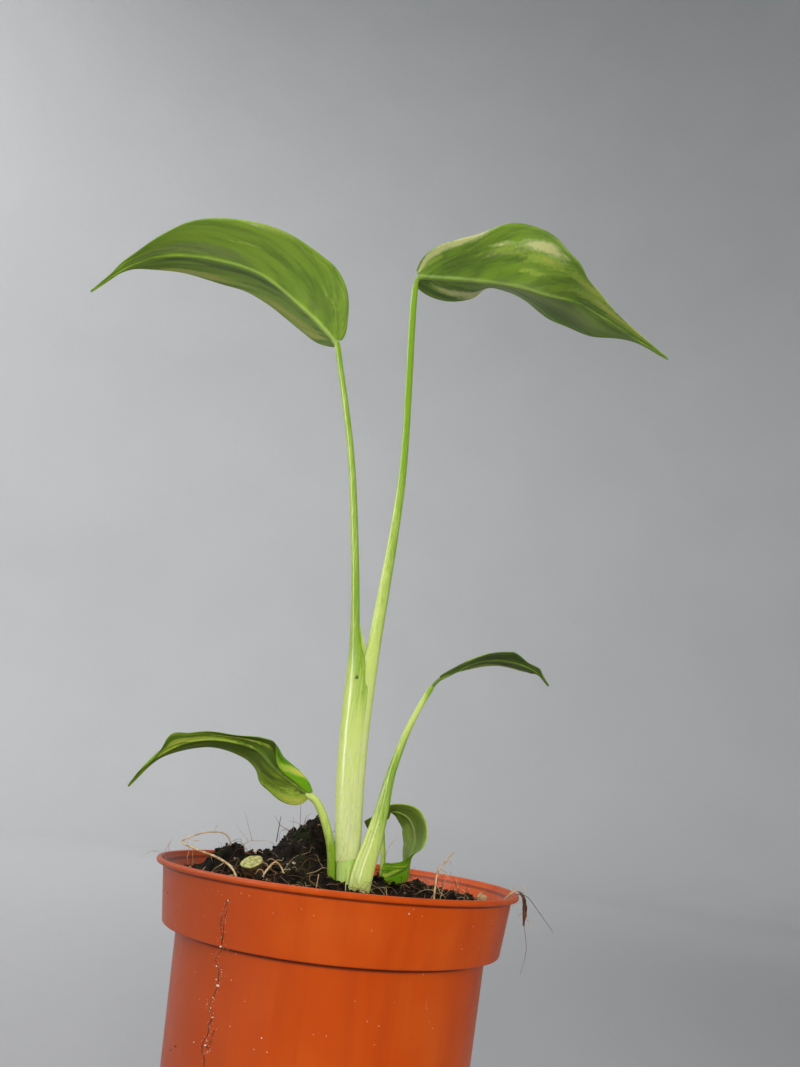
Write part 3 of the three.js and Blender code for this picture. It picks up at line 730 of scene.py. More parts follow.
def sheath_half(side):
    """Turns the lower part of a tall petiole, left (-1) or right (1), into its half of the oval stem."""
    def shape(centre, turns, x, y):
        held = 1 - float(smooth_step(centre[2], SHEATH_TOP - SHEATH_BLEND, SHEATH_TOP))
        if held == 0:
            return x, y
        left_x, left_y, left_wide, left_deep = at_height(PETIOLES["petiole_upper_left"], centre[2])
        right_x, right_y, right_wide, right_deep = at_height(PETIOLES["petiole_upper_right"], centre[2])
        west, east = left_x - left_wide, right_x + right_wide
        middle, half = (west + east) / 2, (east - west) / 2
        seam = (left_x + left_wide + right_x - right_wide) / 2
        depth = 0.53 * (left_deep + right_deep)
        away = (turns if side > 0 else math.pi - turns) + math.pi
        away = away % (2 * math.pi) - math.pi  # 0 at the outermost point of the half
        opening = math.acos(side * (seam - middle) / half) + (SHEATH_LAP if side < 0 else 0)
        free = math.pi - SEAM_SHARE
        on_bow = np.abs(away) <= free
        bow = away / free * opening
        flat = np.where(away > 0, away - math.pi, away + math.pi) / SEAM_SHARE
        edge = middle + side * half * math.cos(opening)
        ledge = 0.002 + 0.01 * float(smooth_step(centre[2], 96, 118)) if side < 0 else 0
        raised = 1 + ledge * smooth_step(np.abs(bow), opening - 0.9, opening - 0.3)
        raised = raised - (0.05 * smooth_step(np.abs(bow), opening - 0.16, opening) if side < 0 else 0)
        bow_x, bow_y = middle + side * half * np.cos(bow) * raised, depth * np.sin(bow) * raised
        joint_x = np.where(on_bow, bow_x, seam + (edge - seam) * flat**8)
        joint_y = np.where(on_bow, bow_y, -flat * depth * math.sin(opening))
        joint_x, joint_y = joint_x - centre[0], joint_y + (left_y + right_y) / 2 - centre[1]
        return x + (joint_x - x) * held, y + (joint_y - y) * held
    return shape


def open_sheath(centre, turns, x, y):
    """Thins the left side of the low right petiole's foot to a flange with a groove in front of it."""
    open_here = 1 - float(smooth_step(centre[2], 84, 98))
    leftness = np.clip(-np.cos(turns), 0, 1)
    groove = np.exp(-(((turns - 1.32 * math.pi) / 0.2) ** 2))
    return x * (1 + 0.1 * open_here * leftness), y * (1 - open_here * (0.45 * leftness + 0.3 * groove))


petiole_skin, petiole_shader, place = new_material("petiole_skin")
grain = marked(place)
streaks = place.stretched(2.2, 2.2, 0.06).cloud(detail=4, roughness=0.6)
fine_streaks = place.stretched(6, 6, 0.2, 3).cloud(detail=3, roughness=0.6)
blotches = place.stretched(0.5, 0.5, 0.12, 9).cloud(detail=4, roughness=0.6)
# Painted light: each stalk is painted paler on its left side and greener on its right, on top of its own
# tone.
tone_with_side_light = grain.part("Z") - grain.part("Y") * 0.22
pale = (tone_with_side_light + (streaks - 0.5) * 0.9 + (blotches - 0.5) * 0.5).step(0.1, 0.9)
creamy = (grain.part("Z") + (fine_streaks - 0.5) * 2.2).step(0.95, 1.4)
pits = place.stretched(1.2, 1.2, 0.5, 5).cloud(detail=2, roughness=0.8).step(0.73, 0.77)
bruise = place.node("VectorMath", {0: place, 1: BRUISE_PLACE}, {"operation": "DISTANCE"}, output=1)
bruise = (bruise + (place.cloud(scale=1.6, detail=3) - 0.5) * 1.4).step(0.55, 0.25)
petiole_colour = layered(
    pale.blend(STEM_GREEN, STEM_PALE),
    (creamy * 0.7, STEM_CREAM),
    (fine_streaks.step(0.54, 0.68) * 0.42, STEM_STREAK),
    (pits * 0.6, STEM_PIT),
    (bruise * 0.85, STEM_BRUISED),
)
feed(
    petiole_shader, Base_Color=petiole_colour, Roughness=0.24 + fine_streaks * 0.12, Coat_Weight=0.35,
    Coat_Roughness=0.16, Coat_Tint=paint(*STEM_SHINE),
    Normal=bumped(fine_streaks * 0.6 + streaks * 0.4, depth=0.06, strength=0.5), Specular_IOR_Level=0.5,
    Subsurface_Weight=0.4, Subsurface_Radius=(1, 1, 0.35), Subsurface_Scale=1.4 * MM,
)
petiole_shapes = {
    "petiole_upper_left": sheath_half(-1), "petiole_upper_right": sheath_half(1),
    "petiole_lower_right": open_sheath,
}
for name, petiole in PETIOLES.items():
    tall = name.startswith("petiole_upper")
    shape = petiole_shapes.get(name, knobbly(depth=0.05, size=4))
    parts = [swept(**petiole, sides=56 if tall else 40, shape=shape, round_foot=not tall)]
    if name == "petiole_upper_left":
        parts.append(swept(**WEB, sides=16, rings=30))
    piece = new_piece(name.replace("petiole", "stalk"), joined(parts), petiole_skin)
    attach(piece, "root")
    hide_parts(name)

# Blades: five thin lance-shaped leaves, satin below and glossier above. The midrib is a raised cord that
# runs on from the stalk and fades to the drip tip. Side veins leave it at a slant and bend to the tip.
# Cream and yellow-green variegation lies in torn patches and streaks along those veins. Dark patches
# are painted shade, and grey ones are a painted sheen.
LEAF = {
    "rows": 220, "cells": 26, "thickness": 0.36, "margin": 0.16,
    "slant": 0.32, "vein_step": 0.062, "swell": 0.035,
}
LIME, YELLOW, CREAM, CREAM_EDGE = (158, 184, 64), (192, 190, 84), (220, 218, 148), (164, 186, 104)
# SHADOW is painted shade and SHEEN is a painted sheen, laid on the blades in patches.
SHADOW, SHEEN, RIB, VEIN = (58, 84, 28), (138, 150, 92), (172, 196, 96), (150, 178, 76)
CELL_EDGE, SPOT, MARGIN = (70, 100, 36), (38, 44, 18), (40, 58, 18)
# midrib and half outlines are in millimetres, angles in degrees, evenly spaced from foot to tip. A patch
# is (place along the leaf, place across it with - for the front half, half length, half width, strength).
# A wave is (half, place along, half length, height at the margin), and a bulge (half, place along, half
# length, extra width). What a leaf or a half leaves out is as in the plain ones.
PLAIN_LEAF = {"roll": [0], "top": (80, 128, 30), "gloss": 0.4, "spots": 0.25, "painted_sheen": []}
PLAIN_HALF = {"lift": [0], "curl": [0], "curled": [0, 0.25, 1], "sweep": [-30, -5, 5, 10, 15, 25, 30]}
BLADES = {
    "blade_upper_left": {
        "midrib": [(-19.5, -8.5, 211), (-29.5, -10.5, 218.5), (-44.5, -13, 227), (-65, -12, 230),
                   (-78, -13, 224.5), (-87.5, -14.5, 212.5)],
        "stalk": [(-17.6, -7.9, 204.5), (-18.7, -8.1, 209)],
        "heading": 1, "rib": 0.72, "rib_shows": 0.85, "under": (137, 171, 46), "deep": (106, 138, 38),
        "front": {"width": [1.5, 7.3, 14, 15.8, 12.8, 6, 2, 0.8, 0.3], "lift": [20, 40, 20, 5, 10],
                  "sweep": [-70, -25, -5, 5, 15, 25, 30]},
        "back": {"width": [1.5, 6.5, 11.5, 12.5, 11, 6, 1.5, 0.6, 0.3], "lift": [0, -5, -2, 10, 5],
                 "sweep": [-50, -15, -5, 5, 15, 25, 30]},
        "cream": [(0.44, -0.93, 0.016, 0.05, 0.75), (0.55, 0.86, 0.03, 0.07, 0.6)],
        "lime": [(0.16, -0.4, 0.12, 0.35, 0.42), (0.1, -0.75, 0.08, 0.2, 0.55),
                 (0.43, -0.95, 0.035, 0.07, 0.9), (0.55, 0.84, 0.06, 0.2, 1.2), (0.34, 0.72, 0.07, 0.3, 1),
                 (0.24, 0.74, 0.05, 0.2, 1.25), (0.27, 0.6, 0.05, 0.16, 0.8), (0.22, 0.45, 0.06, 0.1, 0.6),
                 (0.34, -0.9, 0.04, 0.05, 0.6), (0.22, -0.56, 0.06, 0.05, 0.6),
                 (0.23, -0.88, 0.05, 0.05, 0.6), (0.46, -0.53, 0.03, 0.04, 0.7)],
        "painted_shade": [(0.5, 0.22, 0.14, 0.12, 0.9), (0.75, -0.2, 0.12, 0.5, 0.4)],
        "painted_sheen": [(0.58, -0.3, 0.12, 0.22, 1), (0.3, -0.2, 0.08, 0.1, 0.6), (0.72, -0.35, 0.08, 0.2, 0.7)],
        "waves": [(-1, 0.3, 0.05, 0.6), (1, 0.62, 0.05, -0.5), (-1, 0.6, 0.06, -0.5), (1, 0.3, 0.05, 0.5),
                  (-1, 0.46, 0.03, 0.5), (1, 0.47, 0.03, 0.5), (-1, 0.75, 0.04, 0.4)],
        "bulges": [(-1, 0.455, 0.035, -0.75), (-1, 0.62, 0.04, 0.35), (1, 0.5, 0.05, 0.5),
                   (1, 0.3, 0.04, 0.3)],
    },
    "blade_upper_right": {
        "midrib": [(2.3, 8, 248), (19.5, 0.5, 243.5), (32, -0.5, 242.5), (42, -1, 240.5), (51, -1.5, 239),
                   (61, -3.5, 232), (77.5, -5.5, 220.5)],
        "stalk": [(1.3, 7.4, 239), (1.2, 7.8, 244.2), (1.9, 7.9, 247)],
        "heading": -1, "rib": 0.74, "rib_shows": 0.3, "under": (124, 157, 42), "deep": (92, 122, 36),
        "front": {"width": [2, 8.5, 14, 18, 15.4, 9, 4, 1.5, 0.3], "lift": [33, 30, 45, 5, 5, 10],
                  "sweep": [-60, -15, 0, 5, 10, 20, 30]},
        "back": {"width": [3, 9, 13.5, 15.5, 14.5, 11, 6, 2, 0.3], "lift": [-22, -5, 30, 12, -12, 20, 0],
                 "sweep": [-60, -25, -5, 0, 10, 20, 30]},
        "cream": [(0.08, -0.78, 0.05, 0.22, 1), (0.15, -0.88, 0.06, 0.16, 1), (0.23, -0.95, 0.06, 0.12, 1),
                  (0.325, -0.69, 0.03, 0.05, 0.8), (0.445, -0.76, 0.055, 0.13, 0.95),
                  (0.5, -0.86, 0.025, 0.06, 0.8), (0.255, 0.78, 0.042, 0.4, 1.1),
                  (0.27, 0.97, 0.035, 0.15, 1), (0.72, -0.9, 0.05, 0.12, 0.5)],
        "lime": [(0.1, -0.62, 0.07, 0.12, 0.8), (0.34, -0.58, 0.06, 0.12, 0.6), (0.43, -0.3, 0.05, 0.06, 0.7),
                 (0.45, -0.6, 0.07, 0.16, 0.8), (0.22, 0.7, 0.06, 0.3, 0.8), (0.55, 0.3, 0.05, 0.05, 0.4),
                 (0.64, -0.85, 0.06, 0.25, 0.9), (0.74, -0.75, 0.08, 0.4, 1), (0.84, -0.7, 0.06, 0.4, 0.8)],
        "painted_shade": [(0.09, 0.7, 0.06, 0.2, 1), (0.25, 0.12, 0.1, 0.1, 0.8), (0.52, 0.6, 0.16, 0.3, 0.8)],
        "painted_sheen": [(0.34, -0.57, 0.05, 0.1, 1), (0.46, 0.2, 0.16, 0.3, 1), (0.6, 0.4, 0.14, 0.5, 0.9)],
        "waves": [(-1, 0.27, 0.03, -0.8), (-1, 0.35, 0.04, 0.8), (1, 0.45, 0.05, 0.6), (-1, 0.66, 0.05, 0.6),
                  (1, 0.64, 0.05, 0.5)],
        "bulges": [(-1, 0.23, 0.05, -0.7), (-1, 0.36, 0.05, -0.4), (-1, 0.56, 0.035, 0.9),
                   (1, 0.33, 0.05, -0.5), (1, 0.26, 0.025, 0.8), (1, 0.54, 0.05, 0.7)],
    },
    "blade_lower_left": {
        "midrib": [(-10, -7, 89), (-18, -5.5, 93.5), (-24.5, -5.5, 98), (-35, -9.5, 98.5), (-44, -10.5, 94.5),
                   (-50.5, -11.5, 86)],
        "stalk": [(-6.6, -6.8, 86.3), (-9.2, -7.1, 88.2)], "roll": [-75, -72, -40, -14, -10, -10],
        "heading": 1, "rib": 0.5, "rib_shows": 0.3, "spots": 0.9, "gloss": 0.15,
        "under": (110, 134, 32), "deep": (76, 94, 24), "top": (104, 154, 14),
        "front": {"width": [3, 5.8, 7, 5.6, 3.3, 2.9, 2.3, 1, 0.3], "lift": [12, 16, 13, 14, 8],
                  "curl": [-165, -175, -160, -50, -20, 0, -60, 0, 0], "curled": [0, 0, 0.45, 0.95, 1],
                  "sweep": [-50, -15, 0, 5, 15, 25, 30]},
        "back": {"width": [1.5, 4.5, 6.3, 6.3, 5.5, 4.7, 1.5, 0.6, 0.3], "lift": [0, 4, -4, -6, 7],
                 "curl": [10], "sweep": [-50, -20, -5, 5, 15, 25, 30]},
        "cream": [(0.46, -0.47, 0.03, 0.04, 0.7)],
        "lime": [(0.17, -0.6, 0.05, 0.4, 1), (0.46, -0.5, 0.08, 0.12, 1), (0.12, 0.75, 0.16, 0.4, 0.9),
                 (0.1, 0.95, 0.14, 0.16, 1), (0.16, 0.45, 0.07, 0.25, 0.7), (0.62, -0.3, 0.1, 0.4, 0.9),
                 (0.74, -0.2, 0.08, 0.4, 0.7)],
        "painted_shade": [(0.44, 0.3, 0.09, 0.6, 1), (0.38, -0.2, 0.06, 0.4, 1), (0.5, 0.1, 0.06, 0.3, 0.8),
                 (0.66, -0.8, 0.05, 0.3, 1), (0.34, -0.9, 0.04, 0.4, 0.8)],
        "waves": [(-1, 0.65, 0.04, 1.2), (1, 0.5, 0.06, 0.3), (1, 0.33, 0.03, -0.7), (-1, 0.5, 0.04, -0.4)],
        "bulges": [(-1, 0.652, 0.03, 0.75), (-1, 0.61, 0.02, -0.3), (-1, 0.36, 0.05, 1.8),
                   (1, 0.36, 0.03, -0.5)],
    },
    "blade_lower_right": {
        "midrib": [(19.6, -2.8, 120.4), (29, -2.5, 125.8), (36.5, -3, 126.7), (43, -5.5, 124.5),
                   (47, -4.5, 121.3)],
        "stalk": [(15.4, -3.3, 113.3), (17.2, -3, 117), (18.9, -2.9, 119.4)],
        "heading": -1, "rib": 0.4, "rib_shows": 0.1, "gloss": 0.25,
        # Its upper face colour is painted darker than the other blades': painted shade.
        "under": (104, 128, 46), "deep": (72, 94, 34), "top": (72, 104, 34),
        "front": {"width": [0.8, 2.1, 3.5, 4.5, 4.7, 1.9, 0.8, 0.5, 0.3], "lift": [19, 9, 23, 9]},
        "back": {"width": [0.6, 2, 3.9, 4.6, 4.8, 2.4, 0.9, 0.5, 0.3], "lift": [16, -13, -4, 13]},
        "cream": [(0.3, -1, 0.05, 0.08, 0.5)],
        "lime": [(0.4, 0.9, 0.18, 0.25, 1), (0.3, -0.95, 0.08, 0.15, 0.8), (0.36, 0.18, 0.06, 0.1, 0.7)],
        "painted_shade": [(0.5, -0.5, 0.3, 0.5, 0.8)],
        "painted_sheen": [(0.3, 0.2, 0.06, 0.1, 0.8), (0.6, 0.3, 0.1, 0.15, 0.5)],
        "waves": [(1, 0.45, 0.05, 0.3), (1, 0.62, 0.04, -0.3)],
        "bulges": [(-1, 0.52, 0.03, 0.4), (-1, 0.6, 0.03, -0.5), (-1, 0.68, 0.03, 0.5), (1, 0.3, 0.04, 0.3),
                   (1, 0.55, 0.04, 0.4)],
    },
    "blade_curled": {
        "midrib": [(8.8, 5, 86.3), (12, 3.5, 87.2), (15.6, 3, 85.8), (17.4, 2.2, 82), (16.9, 0.8, 78),
                   (15.5, -1.2, 74.7), (10, -2.4, 73.4)],
        "stalk": [(9.5, 4.2, 81), (8.9, 4.8, 84.8)], "roll": [-4, -6, -18, -30, -30, -5, 55, 62, 60],
        "heading": -1, "rib": 0.4, "rib_shows": 0.2,
        "under": (130, 154, 64), "deep": (104, 128, 50), "top": (104, 152, 24),
        "front": {"width": [0.8, 2.6, 4.1, 5.1, 5.3, 4.6, 2.2, 2.4, 0.3]},
        "back": {"width": [6.2, 3, 2.8, 5.6, 5.5, 4.6, 3.8, 4.2, 0.3],
                 "lift": [-8, -36, -10, 0, 0, 0, 0, 0, 0], "sweep": [-76, -20, 0, 10, 15, 25, 30]},
        "cream": [(0.42, -1, 0.14, 0.05, 0.6)],
        "lime": [(0.42, -0.97, 0.2, 0.1, 0.9), (0.9, 0.3, 0.06, 0.5, 0.8), (0.5, 0.45, 0.12, 0.3, 0.6),
                 (0.82, -0.5, 0.05, 0.3, 0.7)],
        "painted_shade": [(0.08, 0.6, 0.08, 0.4, 1), (0.2, -0.1, 0.06, 0.4, 0.6), (0.8, 0.2, 0.05, 0.4, 1),
                 (0.95, -0.2, 0.04, 0.5, 0.9)],
        "painted_sheen": [(0.5, 0.2, 0.12, 0.5, 0.8)],
        "waves": [(-1, 0.4, 0.06, 0.3), (-1, 0.84, 0.04, 0.6), (1, 0.88, 0.04, 0.7), (-1, 0.93, 0.03, -0.5)],
        "bulges": [(1, 0.05, 0.03, 3.2), (1, 0.19, 0.03, -1.6)],
    },
}


def field(patches, s, v):
    """How near a point of a leaf is to the middle of a patch: 1 there, 0.5 at its edge, 0 well outside."""
    nearest = np.zeros(s.shape)
    for along, across, half_length, half_width, strength in patches:
        lean = LEAF["slant"] * (np.abs(v) - abs(across))
        reach = ((s - along - lean) / half_length) ** 2 + ((v - across) / half_width) ** 2
        nearest = np.maximum(nearest, strength * np.exp(-0.7 * reach))
    return nearest


def leaf_surface(leaf):
    """Points of the leaf's middle surface, with s from foot to tip and v across it, and each point's
    distance from the midrib in millimetres."""
    s = np.linspace(0, 1, LEAF["rows"] + 1)
    along = s - 0.6 * np.sin(2 * math.pi * s) / (2 * math.pi)
    centres = spline(leaf["midrib"], along)
    ahead, behind = (spline(leaf["midrib"], along + step) for step in (1e-3, -1e-3))
    tangents = unit(ahead - behind)
    level = np.array([0, 1, 0])
    level = unit(level - tangents * (tangents @ level)[:, None])
    upright = np.cross(level, tangents) * leaf["heading"]
    roll = np.radians(profile(leaf["roll"], s))[:, None]
    across = level * np.cos(roll) + upright * np.sin(roll)
    up = upright * np.cos(roll) - level * np.sin(roll)
    steps = np.linspace(0, 1, LEAF["cells"] + 1) ** 1.5
    ends = np.sqrt(np.clip(s / 0.008, 0.02, 1) * np.clip((1 - s) / 0.02, 0.05, 1))
    halves = []
    for side, half in ((-1, leaf["front"]), (1, leaf["back"])):
        half = {**PLAIN_HALF, **half}
        width = profile(half["width"], s)
        for bulge_side, place, half_length, extra in leaf["bulges"]:
            width = width + extra * np.exp(-(((s - place) / half_length) ** 2)) * (bulge_side == side)
        width = width * ends
        lift, curl, sweep = (np.radians(profile(half[key], s)) for key in ("lift", "curl", "sweep"))
        middles = (steps[1:] + steps[:-1]) / 2
        angle = lift[:, None] + curl[:, None] * profile(half["curled"], middles)
        spans = width[:, None] * np.diff(steps)
        flat = np.concatenate([0 * s[:, None], np.cumsum(spans * np.cos(angle), axis=1)], axis=1)
        rise = np.concatenate([0 * s[:, None], np.cumsum(spans * np.sin(angle), axis=1)], axis=1)
        for wave_side, place, half_length, height in leaf["waves"]:
            if wave_side == side:
                rise += height * steps**2.5 * np.exp(-(((s[:, None] - place) / half_length) ** 2))
        lean = sweep[:, None]
        points = centres[:, None] + (across[:, None] * side * (flat * np.cos(lean))[..., None]
                                     + tangents[:, None] * (flat * np.sin(lean))[..., None]
                                     + up[:, None] * rise[..., None])
        halves.append((points, side * steps, width[:, None] * steps))
    (front, front_v, front_reach), (back, back_v, back_reach) = halves
    points = np.concatenate([front[:, :0:-1], back], axis=1)
    v = np.concatenate([front_v[:0:-1], back_v])
    reach = np.concatenate([front_reach[:, :0:-1], back_reach], axis=1)
    return points, np.repeat(s[:, None], len(v), axis=1), np.repeat(v[None], len(s), axis=0), reach


def on_both_faces(*values):
    """Three values for each point of the middle surface as marks of the upper and the lower face."""
    return np.concatenate([np.stack(values, axis=-1).reshape(-1, 3)] * 2)


def grown_leaf(leaf):
    """The closed blade with its raised veins, and the marks that its colours are laid out with."""
    points, s, v, reach = leaf_surface(leaf)
    rows, width = s.shape
    run = np.gradient(points, axis=0)
    normals = unit(np.cross(np.gradient(points, axis=1), run)) * leaf["heading"]
    slanted = s - LEAF["slant"] * np.abs(v) ** 1.25
    length = float(np.sum(np.linalg.norm(np.diff(leaf["midrib"], axis=0), axis=1)))
    inward = np.clip(np.abs(v) * 6, 0, 1) * np.clip((1 - np.abs(v)) * 5, 0, 1) * np.clip((1 - s) * 4, 0, 1)
    swell = LEAF["swell"] * np.cos(2 * math.pi * slanted / LEAF["vein_step"]) * inward
    rib = leaf["rib"] * np.clip(1.02 - 0.85 * s, 0.15, 1)
    cord = np.sqrt(np.clip(1 - (reach / (1.15 * rib)) ** 2, 0, 1)) * rib
    skirt = 0.3 * rib * np.exp(-((reach / (2.4 * rib)) ** 2))
    thick = LEAF["margin"] + (LEAF["thickness"] - LEAF["margin"]) * np.clip((1 - np.abs(v)) * 3, 0, 1)
    top = points + normals * (thick / 2 + swell - 0.25 * cord)[..., None]
    under = points - normals * (thick / 2 - swell + cord + skirt)[..., None]
    faces = []
    count = rows * width
    for i in range(rows - 1):
        for j in range(width - 1):
            a, b, c, d = i * width + j, i * width + j + 1, (i + 1) * width + j + 1, (i + 1) * width + j
            faces += [(a, b, c, d), (count + a, count + d, count + c, count + b)]
        for j, turn in ((0, 1), (width - 1, -1)):
            a, d = i * width + j, (i + 1) * width + j
            faces.append((a, d, count + d, count + a)[::turn])
    for j in range(width - 1):
        last = (rows - 1) * width
        faces += [(j + 1, j, count + j, count + j + 1),
                  (last + j, last + j + 1, count + last + j + 1, count + last + j)]
    if leaf["heading"] < 0:
        faces = [face[::-1] for face in faces]
    marks = {
        "place": on_both_faces(s, v, 0 * s),
        "vein": on_both_faces(slanted / LEAF["vein_step"], reach, slanted * length),
        "patch": on_both_faces(*(field(leaf[kind], s, v) for kind in ("cream", "lime", "painted_shade"))),
        "sheen": on_both_faces(field(leaf["painted_sheen"], s, v), 0 * s, 0 * s),
    }
    marks["place"][:count, 2] = 1  # the upper face
    middle = LEAF["cells"]
    rows_on = [int(rows * share) for share in (0.07, 0.13, 0.18)]
    under_rib = points[:, middle] - normals[:, middle] * 0.45 * rib[:, middle, None]
    cord_path = leaf["stalk"] + [under_rib[i] for i in rows_on]
    size = leaf["rib"]
    tube = swept(cord_path, [size * 1.12, size * 1.14, size, size * 0.8, size * 0.5], sides=24, rings=60)
    faces = faces + [[2 * count + corner for corner in face] for face in tube[1]]
    added = np.zeros((len(tube[0]), 3))
    marks = {label: np.concatenate([values, added]) for label, values in marks.items()}
    return np.concatenate([top.reshape(-1, 3), under.reshape(-1, 3), np.array(tube[0])]), faces, marks


def leaf_material(name, leaf):
    """A leaf's skin, coloured by layers from the green below to the paler midrib on top."""
    skin, shader, place = new_material(name)
    spot, vein, patch, sheen = (marked(place, label) for label in ("place", "vein", "patch", "sheen"))
    along, across, upper = spot.part("X"), spot.part("Y").maths("ABSOLUTE"), spot.part("Z")
    reach, warp = vein.part("Y"), place.cloud(scale=0.35, detail=3) - 0.5
    on_vein = {0: vein.part("Z") + warp * 3, 1: reach + warp * 2, 2: spot.part("Y") * 2}
    along_veins = vein.node("CombineXYZ", on_vein)
    streaks = along_veins.stretched(0.75, 0.14, 1).cloud(detail=4, roughness=0.6)
    broad = along_veins.stretched(0.16, 0.1, 1, 5).cloud(detail=4, roughness=0.55)
    strokes = along_veins.stretched(0.36, 0.15, 1, 9).cloud(detail=5, roughness=0.65)
    torn = (strokes - 0.5) * 0.8 + (place.cloud(scale=0.9, detail=5) - 0.5) * 0.5
    cream, lime = patch.part("X") + torn, patch.part("Y") + torn
    painted_shade, painted_sheen = patch.part("Z") + (broad - 0.5) * 0.8, sheen.part("X") + (broad - 0.5) * 0.5
    phase = (vein.part("X") + warp * 0.35).maths("FRACT") - 0.5
    lateral = phase.maths("ABSOLUTE").step(0.075, 0.015) * across.step(0.97, 0.75)
    rib = (reach / ((1.02 - along * 0.85) * leaf["rib"])).step(1.3, 0.8)
    cells = {"Vector": place, "Scale": 1.6, "Randomness": 1}
    net = place.node("TexVoronoi", cells, {"feature": "DISTANCE_TO_EDGE"}).step(0.12, 0.02)
    spots, chance = dotted(place, scale=0.45, reach=(0.14, 0.08))
    colour = layered(
        broad.step(0.36, 0.66).blend(leaf["under"], leaf["deep"]),
        (upper, leaf["top"]),
        (strokes.step(0.48, 0.68) * 0.27, LIME),
        (streaks.step(0.5, 0.75) * 0.1, LIME),
        # Painted shade in the dark patches, then a painted sheen in the grey ones.
        (painted_shade.step(0.3, 0.85) * 0.6, SHADOW),
        (painted_sheen.step(0.25, 0.85) * 0.5, SHEEN),
        (lateral * 0.1, VEIN),
        (lime.step(0.34, 0.62) * 0.85, LIME),
        (lime.step(0.66, 0.95) * 0.8, YELLOW),
        (cream.step(0.3, 0.48) * 0.8, CREAM_EDGE),
        (cream.step(0.5, 0.8) * 0.85, CREAM),
        (net * 0.06, CELL_EDGE),
        (spots * chance.step(0.94, 0.95) * leaf["spots"], SPOT),
        (across.step(0.9, 0.97) * 0.9, MARGIN),
        (rib * along.step(0.7, 0.05) * leaf["rib_shows"], RIB),
    )
    relief = lateral * 0.35 + streaks * 0.3 + net * 0.2
    feed(
        shader, Base_Color=colour, Roughness=0.48 - upper * 0.08 + streaks * 0.12,
        Normal=bumped(relief, depth=0.12, strength=0.7), Specular_IOR_Level=leaf["gloss"],
        Subsurface_Weight=0.4, Subsurface_Radius=(1, 1, 0.3), Subsurface_Scale=0.3 * MM,
    )
    return skin


for name, leaf in BLADES.items():
    leaf = {**PLAIN_LEAF, **leaf}
    skin = leaf_material(name.replace("blade", "skin"), leaf)
    piece = new_piece(name.replace("blade", "leaf"), grown_leaf(leaf), skin)
    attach(piece, "root")
    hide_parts(name)

# Cut stub: the end of an older stem. Its skin is brown and wrinkled and its cut face has dried pale.
STUB = {
    "path": [(-17, -10, 65), (-18.2, -13, 69), (-19.4, -16.2, 73.4)],
    "wide": [2.3, 2.4, 2.4], "deep": [2, 2, 1.9],
}
CUT_EDGE = (10.55, 10.68)  # millimetres along it, where the skin ends and the cut face begins
CUT_PALE, CUT_DARK, BARK_BROWN, BARK_DARK = (200, 198, 128), (150, 146, 80), (92, 68, 40), (44, 32, 20)


def wrinkled(centre, turns, x, y):
    wrinkles = 1 + 0.03 * np.sin(5 * turns + centre[2]) + 0.012 * np.sin(13 * turns - 2 * centre[2])
    return x * wrinkles, y * wrinkles


stub_skin, stub_shader, place = new_material("cut_stem")
face_mottle = place.cloud(scale=1.6, detail=5)
cut_colour = face_mottle.step(0.35, 0.65).blend(CUT_PALE, CUT_DARK)
skin_colour = face_mottle.step(0.4, 0.62).blend(BARK_BROWN, BARK_DARK)
on_face = marked(place).part("X").step(*CUT_EDGE)
feed(
    stub_shader, Base_Color=on_face.blend(skin_colour, cut_colour), Roughness=0.75,
    Normal=bumped(place.cloud(scale=1.5, detail=6), depth=0.3, strength=0.7),
)
stub_body = joined([swept(**STUB, sides=40, rings=60, shape=wrinkled, round_head=False)])
stub_piece = new_piece("old_stem_end", stub_body, stub_skin)
stub_piece.data.set_sharp_from_angle(angle=math.radians(40))
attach(stub_piece, "root")
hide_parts("cut_stub")

# Stray roots: dry tan to brown, wrinkled, branching into hairs. Four thick ones lie over the soil, one of
# them over the rim, and finer ones stick out of the peat everywhere.
STRAY_ROOTS = {
    "root_arch_left": {
        "path": [(-26, 8.5, 70), (-28.5, 7, 76.6), (-33, 5, 77.3), (-38, 2.8, 75.3), (-38, 0, 74.5),
                 (-33.5, -6, 73.9), (-27, -13, 73), (-22.5, -20.5, 71.6), (-20, -26, 68)],
        "wide": [0.14, 0.16, 0.16, 0.18, 0.24, 0.26, 0.2], "tone": [0.45, 0.3, 0.1, 0.05], "rings": 200,
    },
    "root_loop_front": {
        "path": [(-16.2, -20.5, 67), (-16, -20, 71.3), (-14, -18.4, 74), (-11.8, -18.8, 71.6),
                 (-11.5, -19.4, 67)],
        "wide": [0.2, 0.17, 0.2], "tone": [0.3, 0.1, 0.1], "rings": 80,
    },
    "root_arc_right": {
        "path": [(21.4, -14.4, 65), (21.6, -14, 72.5), (22.3, -13, 76), (25.3, -11, 79.5)],
        "wide": [0.24, 0.2, 0.17, 0.12], "tone": [0.3, 0.1, 0.1], "rings": 80,
    },
    "root_over_rim": {
        "path": [(35.5, -5.6, 67), (38.8, -6, 70.6), (41.2, -6.2, 72.6), (42.9, -6.6, 71.8), (43.4, -7.2, 69),
                 (43.2, -7.6, 65.8)],
        "wide": [0.2, 0.24, 0.2, 0.3, 0.5, 0.2], "tone": [0.6, 0.45, 0.4, 0.75, 0.85, 0.9], "rings": 130,
    },
}
ROOT_PALE, ROOT_DARK = ((172, 132, 84), (226, 196, 148)), ((58, 34, 20), (112, 70, 40))
LIMY_CRUMB = (228, 204, 184)
FIBRES, FUZZ = 700, 1300
CLOD = {"centre": (33.3, -8, 70.4), "size": 1.4}
